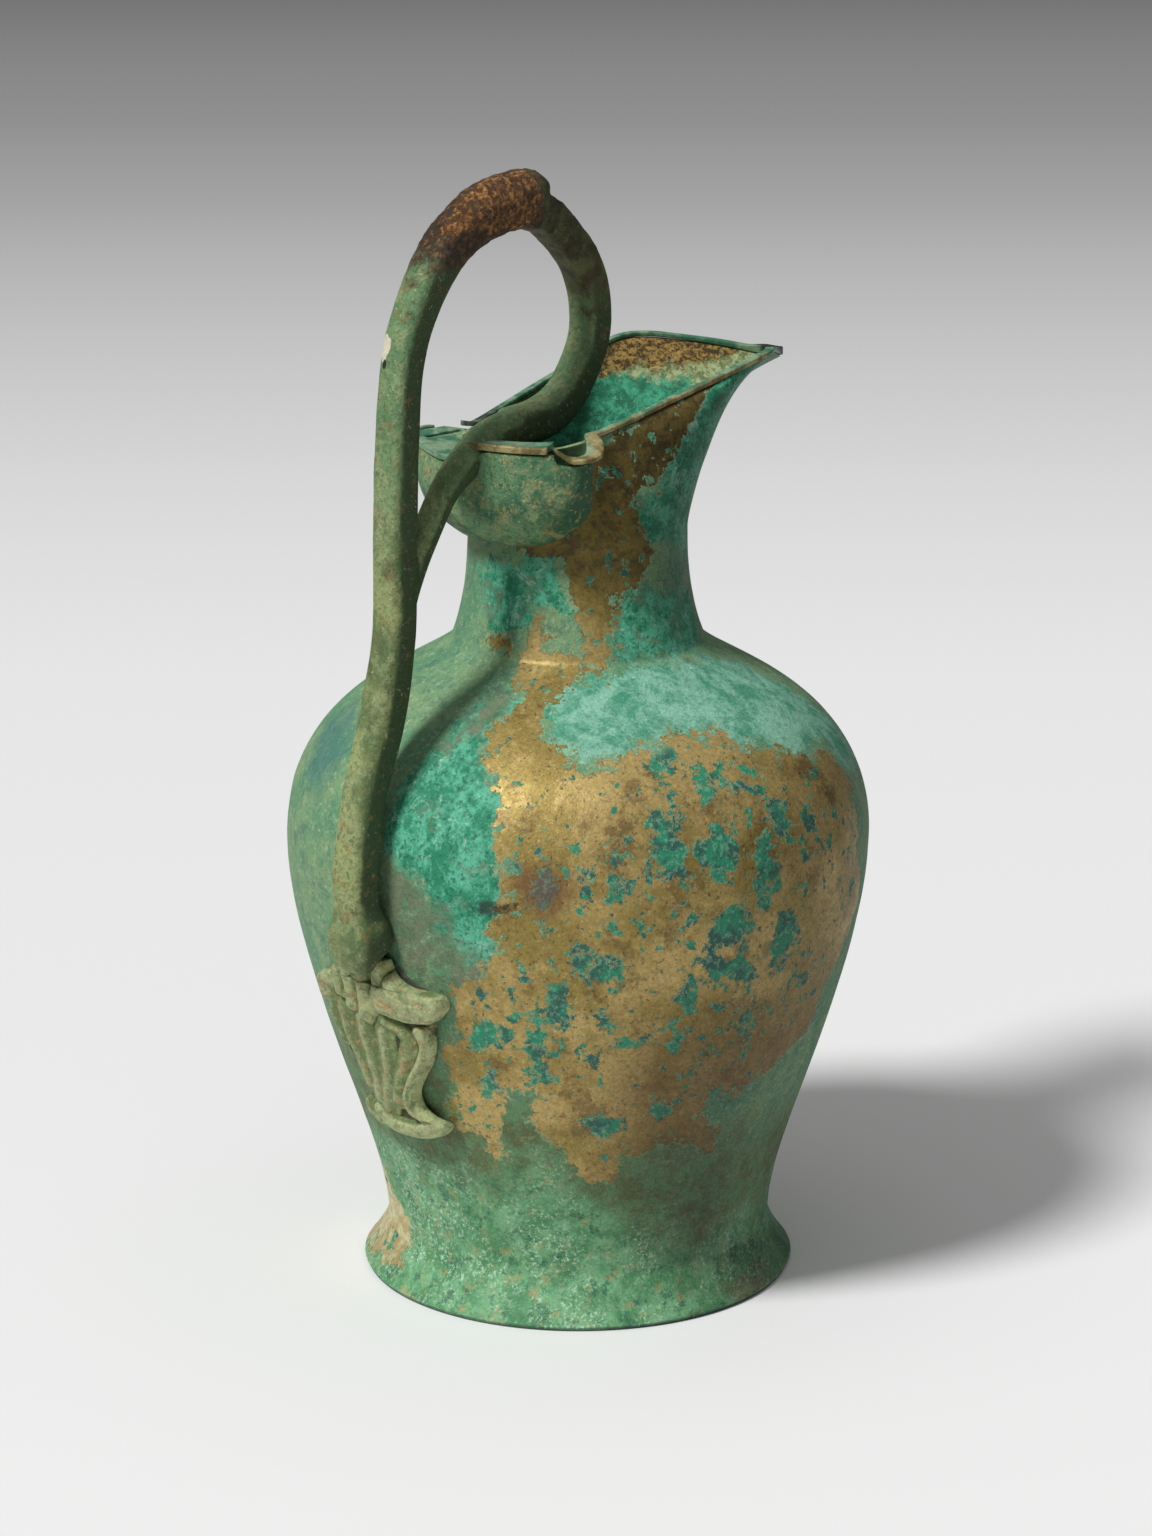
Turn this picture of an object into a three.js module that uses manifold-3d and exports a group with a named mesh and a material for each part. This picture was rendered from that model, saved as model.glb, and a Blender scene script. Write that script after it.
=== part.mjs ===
// Oinochoe: a bronze jug with a beaked mouth and a looped handle that rises above the rim.
// Millimetres, +Z up. The foot stands on Z = 0 around the Z axis, the spout points along +X,
// and the handle stands on the -X side.
import * as THREE from 'three';
import { mergeVertices } from 'three/addons/utils/BufferGeometryUtils.js';
import Module from 'manifold-3d';

const wasm = await Module();
wasm.setup();

// Sheet, seams and clearances
const WALL = 1.6;
const FIT = 0.3;
const SOLDER = 0.7;

// Vessel: radius and height of each place where its outline turns
const FOOT_RADIUS = 54.8;
const FOOT_EDGE = 1.2;
const WAIST_RADIUS = 48.6;
const WAIST_HEIGHT = 12;
const BELLY_RADIUS = 72.7;
const BELLY_HEIGHT = 114;
const COLLAR_RADIUS = 31.5;
const COLLAR_HEIGHT = 163;
const NECK_RADIUS = 26.9;
const NECK_HEIGHT = 191;

// Mouth, seen from above: a beak in front, nearly parallel sides and a round back
const SPOUT_REACH = 78.9;
const SPOUT_HEIGHT = 224.2;
const CREST_REACH = 44;
const CREST_HEIGHT = 230.6;
const CREST_HALF_WIDTH = 23.6;
const PINCH_REACH = 16;
const PINCH_HEIGHT = 217.6;
const PINCH_HALF_WIDTH = 18.4;
const BEAK_ARCH = 1.2;
const BACK_REACH = 36;
const BACK_HEIGHT = 217.2;

// Band along the rim, and the hooks at its two ends
const BAND_THICKNESS = 1.2;
const BAND_OVERHANG = 0.5;
const HOOK_START = 20;
const HOOK_WIDTH = 2.4;
const HOOK_LENGTH = 7.5;
const NEAR_HOOK_START = 14;
const NEAR_HOOK_WIDTH = 4.2;
const NEAR_HOOK_RETURN = 15.5;

// Base plate: a turned disc with rings on its underside
const PLATE_THICKNESS = 2;
const PLATE_RECESS = 3;
const BASE_SEAM = 1.2;
const BOSS_RADIUS = 7;
const RING_RADII = [17, 29, 41];
const RING_WIDTH = 3;
const RING_DEPTH = 1.2;

// Neck saddle: the bowl that clasps the back of the neck, with its two slotted cover plates
const SADDLE_REACH = 40;
const SADDLE_SPREAD = THREE.MathUtils.degToRad(49);
const SADDLE_TOP = 211.2;
const SADDLE_TILT = 4.2;
const SADDLE_STEP = 2.6;
const SADDLE_DEPTH = 19.8;
const SADDLE_SHEET = 2.2;
const SADDLE_WING_RISE = 9.6;
const FAR_COVER_SHARE = 0.94;
const NEAR_COVER_SHARE = 0.64;
const COVER_THICKNESS = 1.6;
const COVER_LIP = 0.5;
const SLOT_LENGTH = 12;
const SLOT_WIDTH = 1.2;
const SLOT_SIDES = [19.5, 24];

// Handle: one casting, drawn as a centre line in the plane Y = 0 with its half thickness
const ROD = 4.8;
const BULB_RADIUS = 6.3;
const BULB_HEIGHT = 102;
const BULB_STANDOFF = 5.6;
const SHAFT_STANDOFF = 6.4;
const SHAFT_REACH = 64.2;
const LOOP_TOP = 270.9;
const LOOP_TOP_REACH = 22.4;
const LOOP_FRONT = 4.3;
const THUMB_REST = 6.2;
const THUMB_REST_RISE = 3;
const STRUT_ROD = 3.5;
const FORK_HEIGHT = 176;

// Escutcheon: the leaf plate under the bulb
const LEAF_TOP = 98;
const LEAF_BOTTOM = 47.5;
const LEAF_SHEET = 2.2;
const LEAF_LEAN = 4;
const LOBE_HALF_WIDTH = 20;
const LOBE_HEIGHT = 88;
const LOBE_UNDERSIDE = 81;
const LOBE_RELIEF = 2.6;
const LEAF_HALF_WIDTH = 14.5;
const STEM_HALF_WIDTH = 8.5;
const TIP_HALF_WIDTH = 13;
const TIP_HEIGHT = 52.5;
const PETAL_RELIEF = 1.1;

// Mesh fineness
const SIDES = 48;
const ROD_SIDES = 12;

const BRONZE = { color: 0x3f8264, roughness: 0.62, metalness: 0.35 };
const CAST_BRONZE = { color: 0x55705a, roughness: 0.7, metalness: 0.3 };
const BARE_BRONZE = { color: 0x8a6c3c, roughness: 0.5, metalness: 0.7 };
const LEAD_GREY = { color: 0x6f7468, roughness: 0.8, metalness: 0.4 };

// Mesh helpers

// Signed volume of an indexed mesh; positive where its faces point out.
function signedVolume(points, faces) {
  const cross = new THREE.Vector3();
  let sum = 0;
  for (const [a, b, c] of faces) {
    sum += points[a].dot(cross.crossVectors(points[b], points[c])) / 6;
  }
  return sum;
}

// Joins equal-length rings of points into one closed body. Its ends are capped, or joined in a circle.
function skin(rings, joinEnds = false) {
  const count = rings[0].length;
  const points = rings.flat();
  const faces = [];
  const bands = joinEnds ? rings.length : rings.length - 1;
  for (let band = 0; band < bands; band++) {
    const low = band * count;
    const high = ((band + 1) % rings.length) * count;
    for (let i = 0; i < count; i++) {
      const next = (i + 1) % count;
      faces.push([low + i, low + next, high + next], [low + i, high + next, high + i]);
    }
  }
  if (!joinEnds) {
    for (const [ring, flip] of [[0, true], [rings.length - 1, false]]) {
      const centre = new THREE.Vector3();
      rings[ring].forEach((point) => centre.addScaledVector(point, 1 / count));
      const hub = points.push(centre) - 1;
      for (let i = 0; i < count; i++) {
        const a = ring * count + i;
        const b = ring * count + (i + 1) % count;
        faces.push(flip ? [b, a, hub] : [a, b, hub]);
      }
    }
  }
  const order = signedVolume(points, faces) > 0 ? faces : faces.map(([a, b, c]) => [a, c, b]);
  const geometry = new THREE.BufferGeometry();
  geometry.setAttribute('position', new THREE.Float32BufferAttribute(points.flatMap((p) => p.toArray()), 3));
  geometry.setIndex(order.flat());
  return geometry;
}

// Closed mesh to solid, for joining and cutting.
function solid(geometry) {
  const bare = geometry.clone();
  bare.deleteAttribute('normal');
  bare.deleteAttribute('uv');
  const merged = mergeVertices(bare, 1e-4);
  return new wasm.Manifold(new wasm.Mesh({
    numProp: 3,
    vertProperties: new Float32Array(merged.attributes.position.array),
    triVerts: new Uint32Array(merged.index.array),
  }));
}

// Solid back to a mesh.
function geometryOf(body) {
  const mesh = body.getMesh();
  const geometry = new THREE.BufferGeometry();
  geometry.setAttribute('position', new THREE.BufferAttribute(new Float32Array(mesh.vertProperties), 3));
  geometry.setIndex(new THREE.BufferAttribute(new Uint32Array(mesh.triVerts), 1));
  return geometry;
}

// LatheGeometry turns about Y; this stands it up along Z. Profile points are (radius, height).
function turned(profile, sides = SIDES) {
  const geometry = new THREE.LatheGeometry(profile.map(([r, z]) => new THREE.Vector2(r, z)), sides);
  return geometry.rotateX(Math.PI / 2);
}

// Evenly spaced numbers from a to b, both included.
function steps(a, b, count) {
  return Array.from({ length: count + 1 }, (unused, i) => a + (b - a) * i / count);
}

// Vessel outline from the foot's edge to the neck, as (radius, height) curves

const point = (r, z) => new THREE.Vector2(r, z);
const flare = new THREE.QuadraticBezierCurve(
  point(FOOT_RADIUS, FOOT_EDGE),
  point((FOOT_RADIUS + WAIST_RADIUS) / 2 - 1, WAIST_HEIGHT / 2),
  point(WAIST_RADIUS, WAIST_HEIGHT),
);
const flank = new THREE.CubicBezierCurve(
  point(WAIST_RADIUS, WAIST_HEIGHT),
  point(WAIST_RADIUS, WAIST_HEIGHT + 0.235 * (BELLY_HEIGHT - WAIST_HEIGHT)),
  point(BELLY_RADIUS, BELLY_HEIGHT - 0.363 * (BELLY_HEIGHT - WAIST_HEIGHT)),
  point(BELLY_RADIUS, BELLY_HEIGHT),
);
const shoulder = new THREE.CubicBezierCurve(
  point(BELLY_RADIUS, BELLY_HEIGHT),
  point(BELLY_RADIUS, BELLY_HEIGHT + 0.68 * (COLLAR_HEIGHT - BELLY_HEIGHT)),
  point(COLLAR_RADIUS + 0.233 * (BELLY_RADIUS - COLLAR_RADIUS), COLLAR_HEIGHT - 8.7),
  point(COLLAR_RADIUS, COLLAR_HEIGHT),
);
const neck = new THREE.QuadraticBezierCurve(
  point(COLLAR_RADIUS, COLLAR_HEIGHT),
  point(NECK_RADIUS, COLLAR_HEIGHT + 0.4 * (NECK_HEIGHT - COLLAR_HEIGHT)),
  point(NECK_RADIUS, NECK_HEIGHT),
);
const OUTLINE = [point(FOOT_RADIUS, 0)]
  .concat(flare.getPoints(4), flank.getPoints(8).slice(1), shoulder.getPoints(8).slice(1))
  .concat(neck.getPoints(4).slice(1));

// Outline moved inwards by a distance, or outwards where the distance is negative.
function outlineInset(distance) {
  return OUTLINE.map((here, i) => {
    const before = OUTLINE[Math.max(i - 1, 0)];
    const after = OUTLINE[Math.min(i + 1, OUTLINE.length - 1)];
    const along = after.clone().sub(before).normalize();
    const moved = point(here.x - distance * along.y, here.y + distance * along.x);
    if (i === 0) {
      moved.y = 0;
    }
    return moved;
  });
}

// Radius of the vessel at a height below the neck, on its outside or a distance inside that.
function radiusAt(height, distance = 0) {
  const outline = outlineInset(distance);
  const i = Math.max(outline.findIndex((p) => p.y >= height), 1);
  const low = outline[i - 1];
  const high = outline[i];
  return THREE.MathUtils.mapLinear(height, low.y, high.y, low.x, high.x);
}

// Mouth: half of its outline as a curve from the spout's tip to the middle of the back

const BEAK_ANGLE = Math.atan2(CREST_HALF_WIDTH, SPOUT_REACH - CREST_REACH);

function mouthSide(inset) {
  const tip = new THREE.Vector3(SPOUT_REACH - inset / Math.sin(BEAK_ANGLE), 0, SPOUT_HEIGHT);
  const crest = new THREE.Vector3(CREST_REACH - inset / 2, CREST_HALF_WIDTH - inset, CREST_HEIGHT);
  const pinch = new THREE.Vector3(-PINCH_REACH, PINCH_HALF_WIDTH - inset, PINCH_HEIGHT);
  const back = new THREE.Vector3(-BACK_REACH + inset, 0, BACK_HEIGHT);
  const beak = tip.clone().lerp(crest, 0.55);
  beak.z += BEAK_ARCH;
  const side = crest.clone().lerp(pinch, 0.5);
  side.y += 0.04 * CREST_HALF_WIDTH;
  const turn = new THREE.Vector3(0.35 * pinch.x + 0.65 * back.x, 0.78 * pinch.y, BACK_HEIGHT - 0.6);
  return new THREE.CatmullRomCurve3([tip, beak, crest, side, pinch, turn, back]);
}

// The whole mouth outline as a ring, moved inwards by inset and down by drop.
function mouthRing(inset, drop = 0) {
  const side = mouthSide(inset);
  return steps(0, SIDES - 1, SIDES - 1).map((i) => {
    const turn = i / SIDES * 2;
    const place = side.getPointAt(turn <= 1 ? turn : 2 - turn);
    place.y *= turn <= 1 ? 1 : -1;
    place.z -= drop;
    return place;
  });
}

function circleRing(radius, height) {
  return steps(0, SIDES - 1, SIDES - 1).map((i) => {
    const angle = i / SIDES * 2 * Math.PI;
    return new THREE.Vector3(radius * Math.cos(angle), radius * Math.sin(angle), height);
  });
}

// From the round neck to the beaked mouth: the sheet leans out slowly, and then sharply at its lip.
const LIP_SHARE = 0.32;
const LEAN_POWER = 1.35;
const LIP_POWER = 8;
const BAND_SEAT = BAND_THICKNESS + FIT;

function throatRing(rise, inset) {
  const lean = (1 - LIP_SHARE) * rise ** LEAN_POWER + LIP_SHARE * rise ** LIP_POWER;
  const low = circleRing(NECK_RADIUS - inset, NECK_HEIGHT);
  const high = mouthRing(inset + BAND_OVERHANG, BAND_SEAT);
  return low.map((from, i) => new THREE.Vector3(
    THREE.MathUtils.lerp(from.x, high[i].x, lean),
    THREE.MathUtils.lerp(from.y, high[i].y, lean),
    THREE.MathUtils.lerp(from.z, high[i].z, rise),
  ));
}

const THROAT_RISES = [0.2, 0.4, 0.57, 0.72, 0.84, 0.93, 1];

function vesselSide(inset) {
  const round = outlineInset(inset).map((p) => circleRing(p.x, p.y));
  return round.concat(THROAT_RISES.map((rise) => throatRing(rise, inset)));
}

// The space that the vessel takes above a height, filled and grown by a clearance, for cutting what hugs it.
function vesselPlug(clearance) {
  const rings = vesselSide(-clearance);
  const lid = rings.at(-1).map((p) => p.clone().add(new THREE.Vector3(0, 0, BAND_SEAT + 4)));
  return solid(skin([...rings, lid]));
}

// Handle

// One centre line through stations of [x, z, half thickness], closed at both ends. It grows all round by
// a clearance, at its ends too.
function rod(stations, grow, lengths) {
  const line = new THREE.CatmullRomCurve3(stations.map(([x, z, half]) => new THREE.Vector3(x, half, z)));
  const rings = steps(0, 1, lengths).map((t) => {
    const here = line.getPoint(t);
    const tangent = line.getTangent(t);
    tangent.y = 0;
    tangent.normalize();
    const half = here.y + grow;
    here.addScaledVector(tangent, grow * (2 * t - 1));
    return steps(0, ROD_SIDES - 1, ROD_SIDES - 1).map((i) => {
      const angle = i / ROD_SIDES * 2 * Math.PI;
      const out = half * Math.cos(angle);
      return new THREE.Vector3(here.x - tangent.z * out, half * Math.sin(angle), here.z + tangent.x * out);
    });
  });
  return solid(skin(rings));
}

const besideVessel = (height, standoff) => -(radiusAt(height) + standoff);
const RETURN_HEIGHT = BACK_HEIGHT + 1.6;

// Height at a share of the way up the tall shaft above the collar, or up the loop above the mouth
const STRAIGHT_END = COLLAR_HEIGHT + 34;
const onShaft = (share) => THREE.MathUtils.lerp(STRAIGHT_END, LOOP_TOP, share);
const onLoop = (share) => THREE.MathUtils.lerp(RETURN_HEIGHT, LOOP_TOP, share);

const SHAFT_STATIONS = [
  [besideVessel(BULB_HEIGHT - 4.6, 4.6), BULB_HEIGHT - 4.4, 0.4 * BULB_RADIUS],
  [besideVessel(BULB_HEIGHT - 3.6, 5), BULB_HEIGHT - 3.4, 0.78 * BULB_RADIUS],
  [besideVessel(BULB_HEIGHT, BULB_STANDOFF), BULB_HEIGHT, BULB_RADIUS],
  [besideVessel(BULB_HEIGHT + 9, BULB_STANDOFF + 0.4), BULB_HEIGHT + 9, 0.93 * BULB_RADIUS],
  [besideVessel(BELLY_HEIGHT + 5, SHAFT_STANDOFF), BELLY_HEIGHT + 5, ROD + 0.5],
  [-SHAFT_REACH - 11.8, BELLY_HEIGHT + 21.5, ROD],
  [-SHAFT_REACH - 5.3, BELLY_HEIGHT + 40.3, ROD + 0.3],
  [-SHAFT_REACH - 0.9, COLLAR_HEIGHT + 10, ROD],
  [-SHAFT_REACH, STRAIGHT_END, ROD],
  [-SHAFT_REACH + 0.8, onShaft(0.26), ROD],
  [-SHAFT_REACH + 4, onShaft(0.606), ROD - 0.1],
  [-SHAFT_REACH + 11.9, onShaft(0.813), ROD + 0.3],
  [-LOOP_TOP_REACH - 21.5, onShaft(0.93), ROD + 0.8],
  [-LOOP_TOP_REACH - 12, onShaft(0.986), ROD + 0.8],
  [-LOOP_TOP_REACH, LOOP_TOP, ROD + 0.4],
  [-LOOP_TOP_REACH + 8.8, onLoop(0.958), ROD + 0.3],
  [LOOP_FRONT - 10.1, onLoop(0.845), ROD],
  [LOOP_FRONT - 3.4, onLoop(0.697), ROD],
  [LOOP_FRONT, onLoop(0.505), ROD],
  [LOOP_FRONT - 0.7, onLoop(0.332), ROD - 0.1],
  [LOOP_FRONT - 8.7, onLoop(0.1), ROD],
  [LOOP_FRONT - 17.3, onLoop(0.013), ROD + 0.3],
  [-BACK_REACH + 11.6, RETURN_HEIGHT - 0.5, ROD + 0.2],
];
const STRUT_STATIONS = [
  [-BACK_REACH + 14, RETURN_HEIGHT - 0.3, ROD],
  [-BACK_REACH + 3.8, RETURN_HEIGHT - 2.6, ROD + 0.2],
  [-SADDLE_REACH - 2, SADDLE_TOP - 0.4, ROD - 0.6],
  [-SADDLE_REACH - 7.2, SADDLE_TOP - 4.7, STRUT_ROD + 0.2],
  [-SADDLE_REACH - 14, SADDLE_TOP - 14.4, STRUT_ROD],
  [-SHAFT_REACH + 4.4, FORK_HEIGHT + 11, STRUT_ROD],
  [-SHAFT_REACH, FORK_HEIGHT, STRUT_ROD],
];

// The thicker back of the loop ends in a blunt step, where a thumb rests.
const THUMB_STATIONS = [
  [-LOOP_TOP_REACH - 24, LOOP_TOP - 5.5, THUMB_REST - 1.6],
  [-LOOP_TOP_REACH - 13, LOOP_TOP + 0.6, THUMB_REST - 0.4],
  [-LOOP_TOP_REACH, LOOP_TOP + THUMB_REST_RISE, THUMB_REST - 0.2],
  [-LOOP_TOP_REACH + 4.6, LOOP_TOP + THUMB_REST_RISE - 0.7, THUMB_REST - 0.4],
];

function handleSolid(grow) {
  return rod(SHAFT_STATIONS, grow, 64).add(rod(STRUT_STATIONS, grow, 14)).add(rod(THUMB_STATIONS, grow, 8));
}

// Pieces

// The saddle's upper edge: low on the far side and higher on the near side, with a step down under the hook.
function saddleTop(across) {
  const rise = THREE.MathUtils.smoothstep(across, -0.1, 0.2);
  const drop = THREE.MathUtils.smoothstep(across, NEAR_COVER_SHARE + 0.03, NEAR_COVER_SHARE + 0.09);
  return SADDLE_TOP + SADDLE_TILT * rise - SADDLE_STEP * drop;
}

const FAR_HOOK_TOP = SADDLE_TOP + FIT + COVER_THICKNESS + FIT + BAND_THICKNESS;
const NEAR_HOOK_TOP = saddleTop(1) + 2 * FIT + BAND_THICKNESS;

function vesselBody(handleSpace) {
  const shell = skin([...vesselSide(0), ...vesselSide(WALL).reverse()], true);
  return geometryOf(solid(shell).subtract(handleSpace));
}

const PLATE_TOP = PLATE_RECESS + PLATE_THICKNESS;
const PLATE_RADIUS = radiusAt(PLATE_TOP, WALL) - 2 * FIT - BASE_SEAM;

function basePlate() {
  const under = [[0, 0], [BOSS_RADIUS, 0], [BOSS_RADIUS + 1.5, PLATE_RECESS]];
  for (const radius of RING_RADII) {
    const inner = radius - RING_WIDTH / 2;
    const outer = radius + RING_WIDTH / 2;
    under.push(
      [inner, PLATE_RECESS],
      [inner + 0.8, PLATE_RECESS - RING_DEPTH],
      [outer - 0.8, PLATE_RECESS - RING_DEPTH],
      [outer, PLATE_RECESS],
    );
  }
  return turned([...under, [PLATE_RADIUS, PLATE_RECESS], [PLATE_RADIUS, PLATE_TOP], [0, PLATE_TOP]]);
}

function baseSolder() {
  const inner = PLATE_RADIUS + FIT;
  return turned([
    [inner, PLATE_RECESS],
    [radiusAt(PLATE_RECESS, WALL) - FIT, PLATE_RECESS],
    [radiusAt(PLATE_TOP, WALL) - FIT, PLATE_TOP],
    [inner, PLATE_TOP],
    [inner, PLATE_RECESS],
  ]);
}

// Edges of a flat strip along a smooth line through the given places, as pairs of points. It starts with
// one width and soon reaches the other.
function stripEdges(places, startWidth, width, lengths) {
  const line = new THREE.CatmullRomCurve3(places);
  return steps(0, 1, lengths).map((t) => {
    const half = THREE.MathUtils.lerp(startWidth, width, Math.min(3 * t, 1)) / 2;
    const along = line.getTangent(t).setZ(0).setLength(half);
    const across = new THREE.Vector3(-along.y, along.x, 0);
    const middle = line.getPoint(t);
    return [middle.clone().add(across), middle.sub(across)];
  });
}

// The near hook curls outwards from the rim, down on the saddle's edge, and back along it.
function nearHook([outer, inner]) {
  const start = outer.clone().lerp(inner, 0.5);
  const drop = start.z - NEAR_HOOK_TOP;
  const curl = [[0, 0, 0], [0.25, 0.2, 0], [0.38, 0.61, 0.3], [0.61, 0.97, 0.85], [0.86, 1, 1], [1, 0.67, 1]];
  const line = curl.map(([back, out, down]) => new THREE.Vector3(
    start.x - back * NEAR_HOOK_RETURN,
    start.y - out * HOOK_LENGTH,
    start.z - down * drop,
  ));
  return stripEdges(line, outer.distanceTo(inner), NEAR_HOOK_WIDTH, 14).slice(1);
}

// The band lies on the sheet's edge from one hook round the spout to the other. The far hook turns outwards
// behind the pinch of the mouth, and reaches down over the saddle.
function rimBand() {
  const outer = mouthRing(0);
  const inner = mouthRing(BAND_OVERHANG + WALL);
  const edges = outer.map((p, i) => [p, inner[i]]);
  const edgesUpTo = (reach) => edges.slice(0, outer.findIndex((p) => p.x < -reach));
  const far = edgesUpTo(HOOK_START);
  const [corner, inside] = far.at(-1);
  const back = corner.clone().sub(far.at(-2)[0]).setZ(0).setLength(HOOK_WIDTH);
  const reach = new THREE.Vector3(-0.15 * HOOK_LENGTH, HOOK_LENGTH, FAR_HOOK_TOP - corner.z);
  far.push([corner, inside.clone().add(back)]);
  far.push([corner.clone().add(reach), corner.clone().add(back).add(reach)]);
  const near = edgesUpTo(NEAR_HOOK_START).slice(1)
    .map((pair) => pair.map((p) => new THREE.Vector3(p.x, -p.y, p.z)));
  near.push(...nearHook(near.at(-1)));
  const down = new THREE.Vector3(0, 0, -BAND_THICKNESS);
  return skin([...near.reverse(), ...far].map(([o, i]) => [o, i, i.clone().add(down), o.clone().add(down)]));
}

// A solid around the back of the neck: its outer radius depends on how far up and how far round it is.
function wedge(spread, bottomAt, topAt, radiusOf, rows = 8, columns = 24) {
  const core = 0.5 * NECK_RADIUS;
  const rings = steps(-1, 1, columns).map((across) => {
    const angle = Math.PI + across * spread;
    const place = (r, z) => new THREE.Vector3(r * Math.cos(angle), r * Math.sin(angle), z);
    const bottom = bottomAt(across);
    const top = topAt(across);
    const outer = steps(bottom, top, rows).map((z) => place(radiusOf(across, z, bottom), z));
    return [place(core, bottom), ...outer, place(core, top)];
  });
  return solid(skin(rings));
}

const saddleBottom = (across) => SADDLE_TOP - SADDLE_DEPTH + SADDLE_WING_RISE * Math.abs(across) ** 4;
const SADDLE_EDGE = NECK_RADIUS + 1.6;

// The bowl swells quickly from its lower edge, and closes on the neck at both ends.
function saddleRadius(across, height, bottom, sheet) {
  const swell = 1 - Math.max(1 - (height - bottom) / (0.62 * SADDLE_DEPTH), 0) ** 1.7;
  const ends = (1 - Math.abs(across) ** 4) ** 0.5;
  return SADDLE_EDGE + (SADDLE_REACH - SADDLE_EDGE) * swell * ends - sheet;
}

function neckSaddle(handleSpace) {
  const seat = FIT + SOLDER + FIT;
  const outside = wedge(SADDLE_SPREAD, saddleBottom, saddleTop,
    (across, z, bottom) => saddleRadius(across, z, bottom, 0), 8, 40);
  const inside = wedge(0.94 * SADDLE_SPREAD, (across) => saddleBottom(across) + SADDLE_SHEET,
    (across) => saddleTop(across) + 2,
    (across, z, bottom) => saddleRadius(across, z, bottom - SADDLE_SHEET, SADDLE_SHEET), 8, 28);
  return geometryOf(outside.subtract(inside).subtract(vesselPlug(seat)).subtract(handleSpace));
}

// Soft solder in the seam under the bowl's lower edge.
function saddleSolder() {
  const strip = wedge(0.95 * SADDLE_SPREAD, (across) => saddleBottom(across) + 0.5,
    () => SADDLE_TOP - 0.5 * SADDLE_DEPTH, () => SADDLE_REACH, 2, 32);
  return geometryOf(strip.intersect(vesselPlug(FIT + SOLDER)).subtract(vesselPlug(FIT)));
}

// One of the two cover plates that close the bowl beside the handle; side is 1 for +Y and -1 for -Y.
function saddleCover(side, share, handleSpace) {
  const bottom = saddleTop(side < 0 ? 0.5 : -1) + FIT;
  const whole = wedge(share * SADDLE_SPREAD, () => bottom, () => bottom + COVER_THICKNESS,
    (across) => Math.max(saddleRadius(share * across, SADDLE_TOP, saddleBottom(0), 0),
      SADDLE_EDGE) + COVER_LIP, 1, 28);
  const reach = 2 * SADDLE_REACH;
  const half = new THREE.BoxGeometry(reach, reach, reach).translate(-reach / 2, side * reach / 2, bottom);
  let cover = whole.intersect(solid(half)).subtract(vesselPlug(FIT)).subtract(handleSpace);
  for (const sideways of SLOT_SIDES) {
    const edge = Math.sqrt(SADDLE_REACH ** 2 - sideways ** 2);
    const slot = new THREE.BoxGeometry(SLOT_LENGTH, SLOT_WIDTH, 4 * COVER_THICKNESS);
    slot.translate(-edge + 2.5 + SLOT_LENGTH / 2, side * sideways, bottom);
    cover = cover.subtract(solid(slot));
  }
  const pieces = cover.decompose().sort((a, b) => b.volume() - a.volume());
  return geometryOf(pieces[0]);
}

// Places a point of the leaf: across in millimetres round the belly, and out from its surface.
function onBelly(across, height, out) {
  const radius = radiusAt(height);
  const lean = LEAF_LEAN * (LEAF_TOP - height) / (LEAF_TOP - LEAF_BOTTOM);
  const angle = Math.PI - (across + lean) / radius;
  return new THREE.Vector3((radius + out) * Math.cos(angle), (radius + out) * Math.sin(angle), height);
}

// Half width of the leaf from its bottom to its top
const leafEdge = new THREE.CatmullRomCurve3([
  [0.45 * TIP_HALF_WIDTH, LEAF_BOTTOM],
  [0.9 * TIP_HALF_WIDTH, LEAF_BOTTOM + 2],
  [TIP_HALF_WIDTH, TIP_HEIGHT],
  [STEM_HALF_WIDTH, TIP_HEIGHT + 5],
  [STEM_HALF_WIDTH + 1, TIP_HEIGHT + 11],
  [LEAF_HALF_WIDTH, LOBE_UNDERSIDE - 7],
  [LEAF_HALF_WIDTH, LOBE_UNDERSIDE - 0.6],
  [0.85 * LOBE_HALF_WIDTH, LOBE_UNDERSIDE],
  [LOBE_HALF_WIDTH, LOBE_HEIGHT],
  [0.62 * LOBE_HALF_WIDTH, LOBE_HEIGHT + 3.5],
  [0.42 * LOBE_HALF_WIDTH, LEAF_TOP - 4],
  [0.3 * LOBE_HALF_WIDTH, LEAF_TOP],
].map(([half, z]) => new THREE.Vector3(half, 0, z)), false, 'centripetal');

// How far the leaf stands out at a share of its half width: a calyx and two lobes above, three petals below.
function leafRelief(share, height) {
  const edge = 1 - share ** 6;
  if (height > LOBE_UNDERSIDE - 0.3) {
    const calyx = 1.4 * (1 - share ** 2) ** 4;
    return LEAF_SHEET + (LOBE_RELIEF + calyx) * edge ** 0.5;
  }
  const petals = PETAL_RELIEF * Math.abs(Math.cos(1.5 * Math.PI * share));
  return LEAF_SHEET + petals * edge;
}

function escutcheon(handleSpace) {
  const seat = FIT + SOLDER + FIT;
  const rings = leafEdge.getPoints(26).map(({ x: half, z }) => {
    const columns = steps(-1, 1, 12);
    const front = columns.map((share) => onBelly(share * half, z, seat + leafRelief(share, z)));
    const back = columns.map((share) => onBelly(share * half, z, seat)).reverse();
    return [...front, ...back];
  });
  return geometryOf(solid(skin(rings)).subtract(handleSpace));
}

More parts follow.
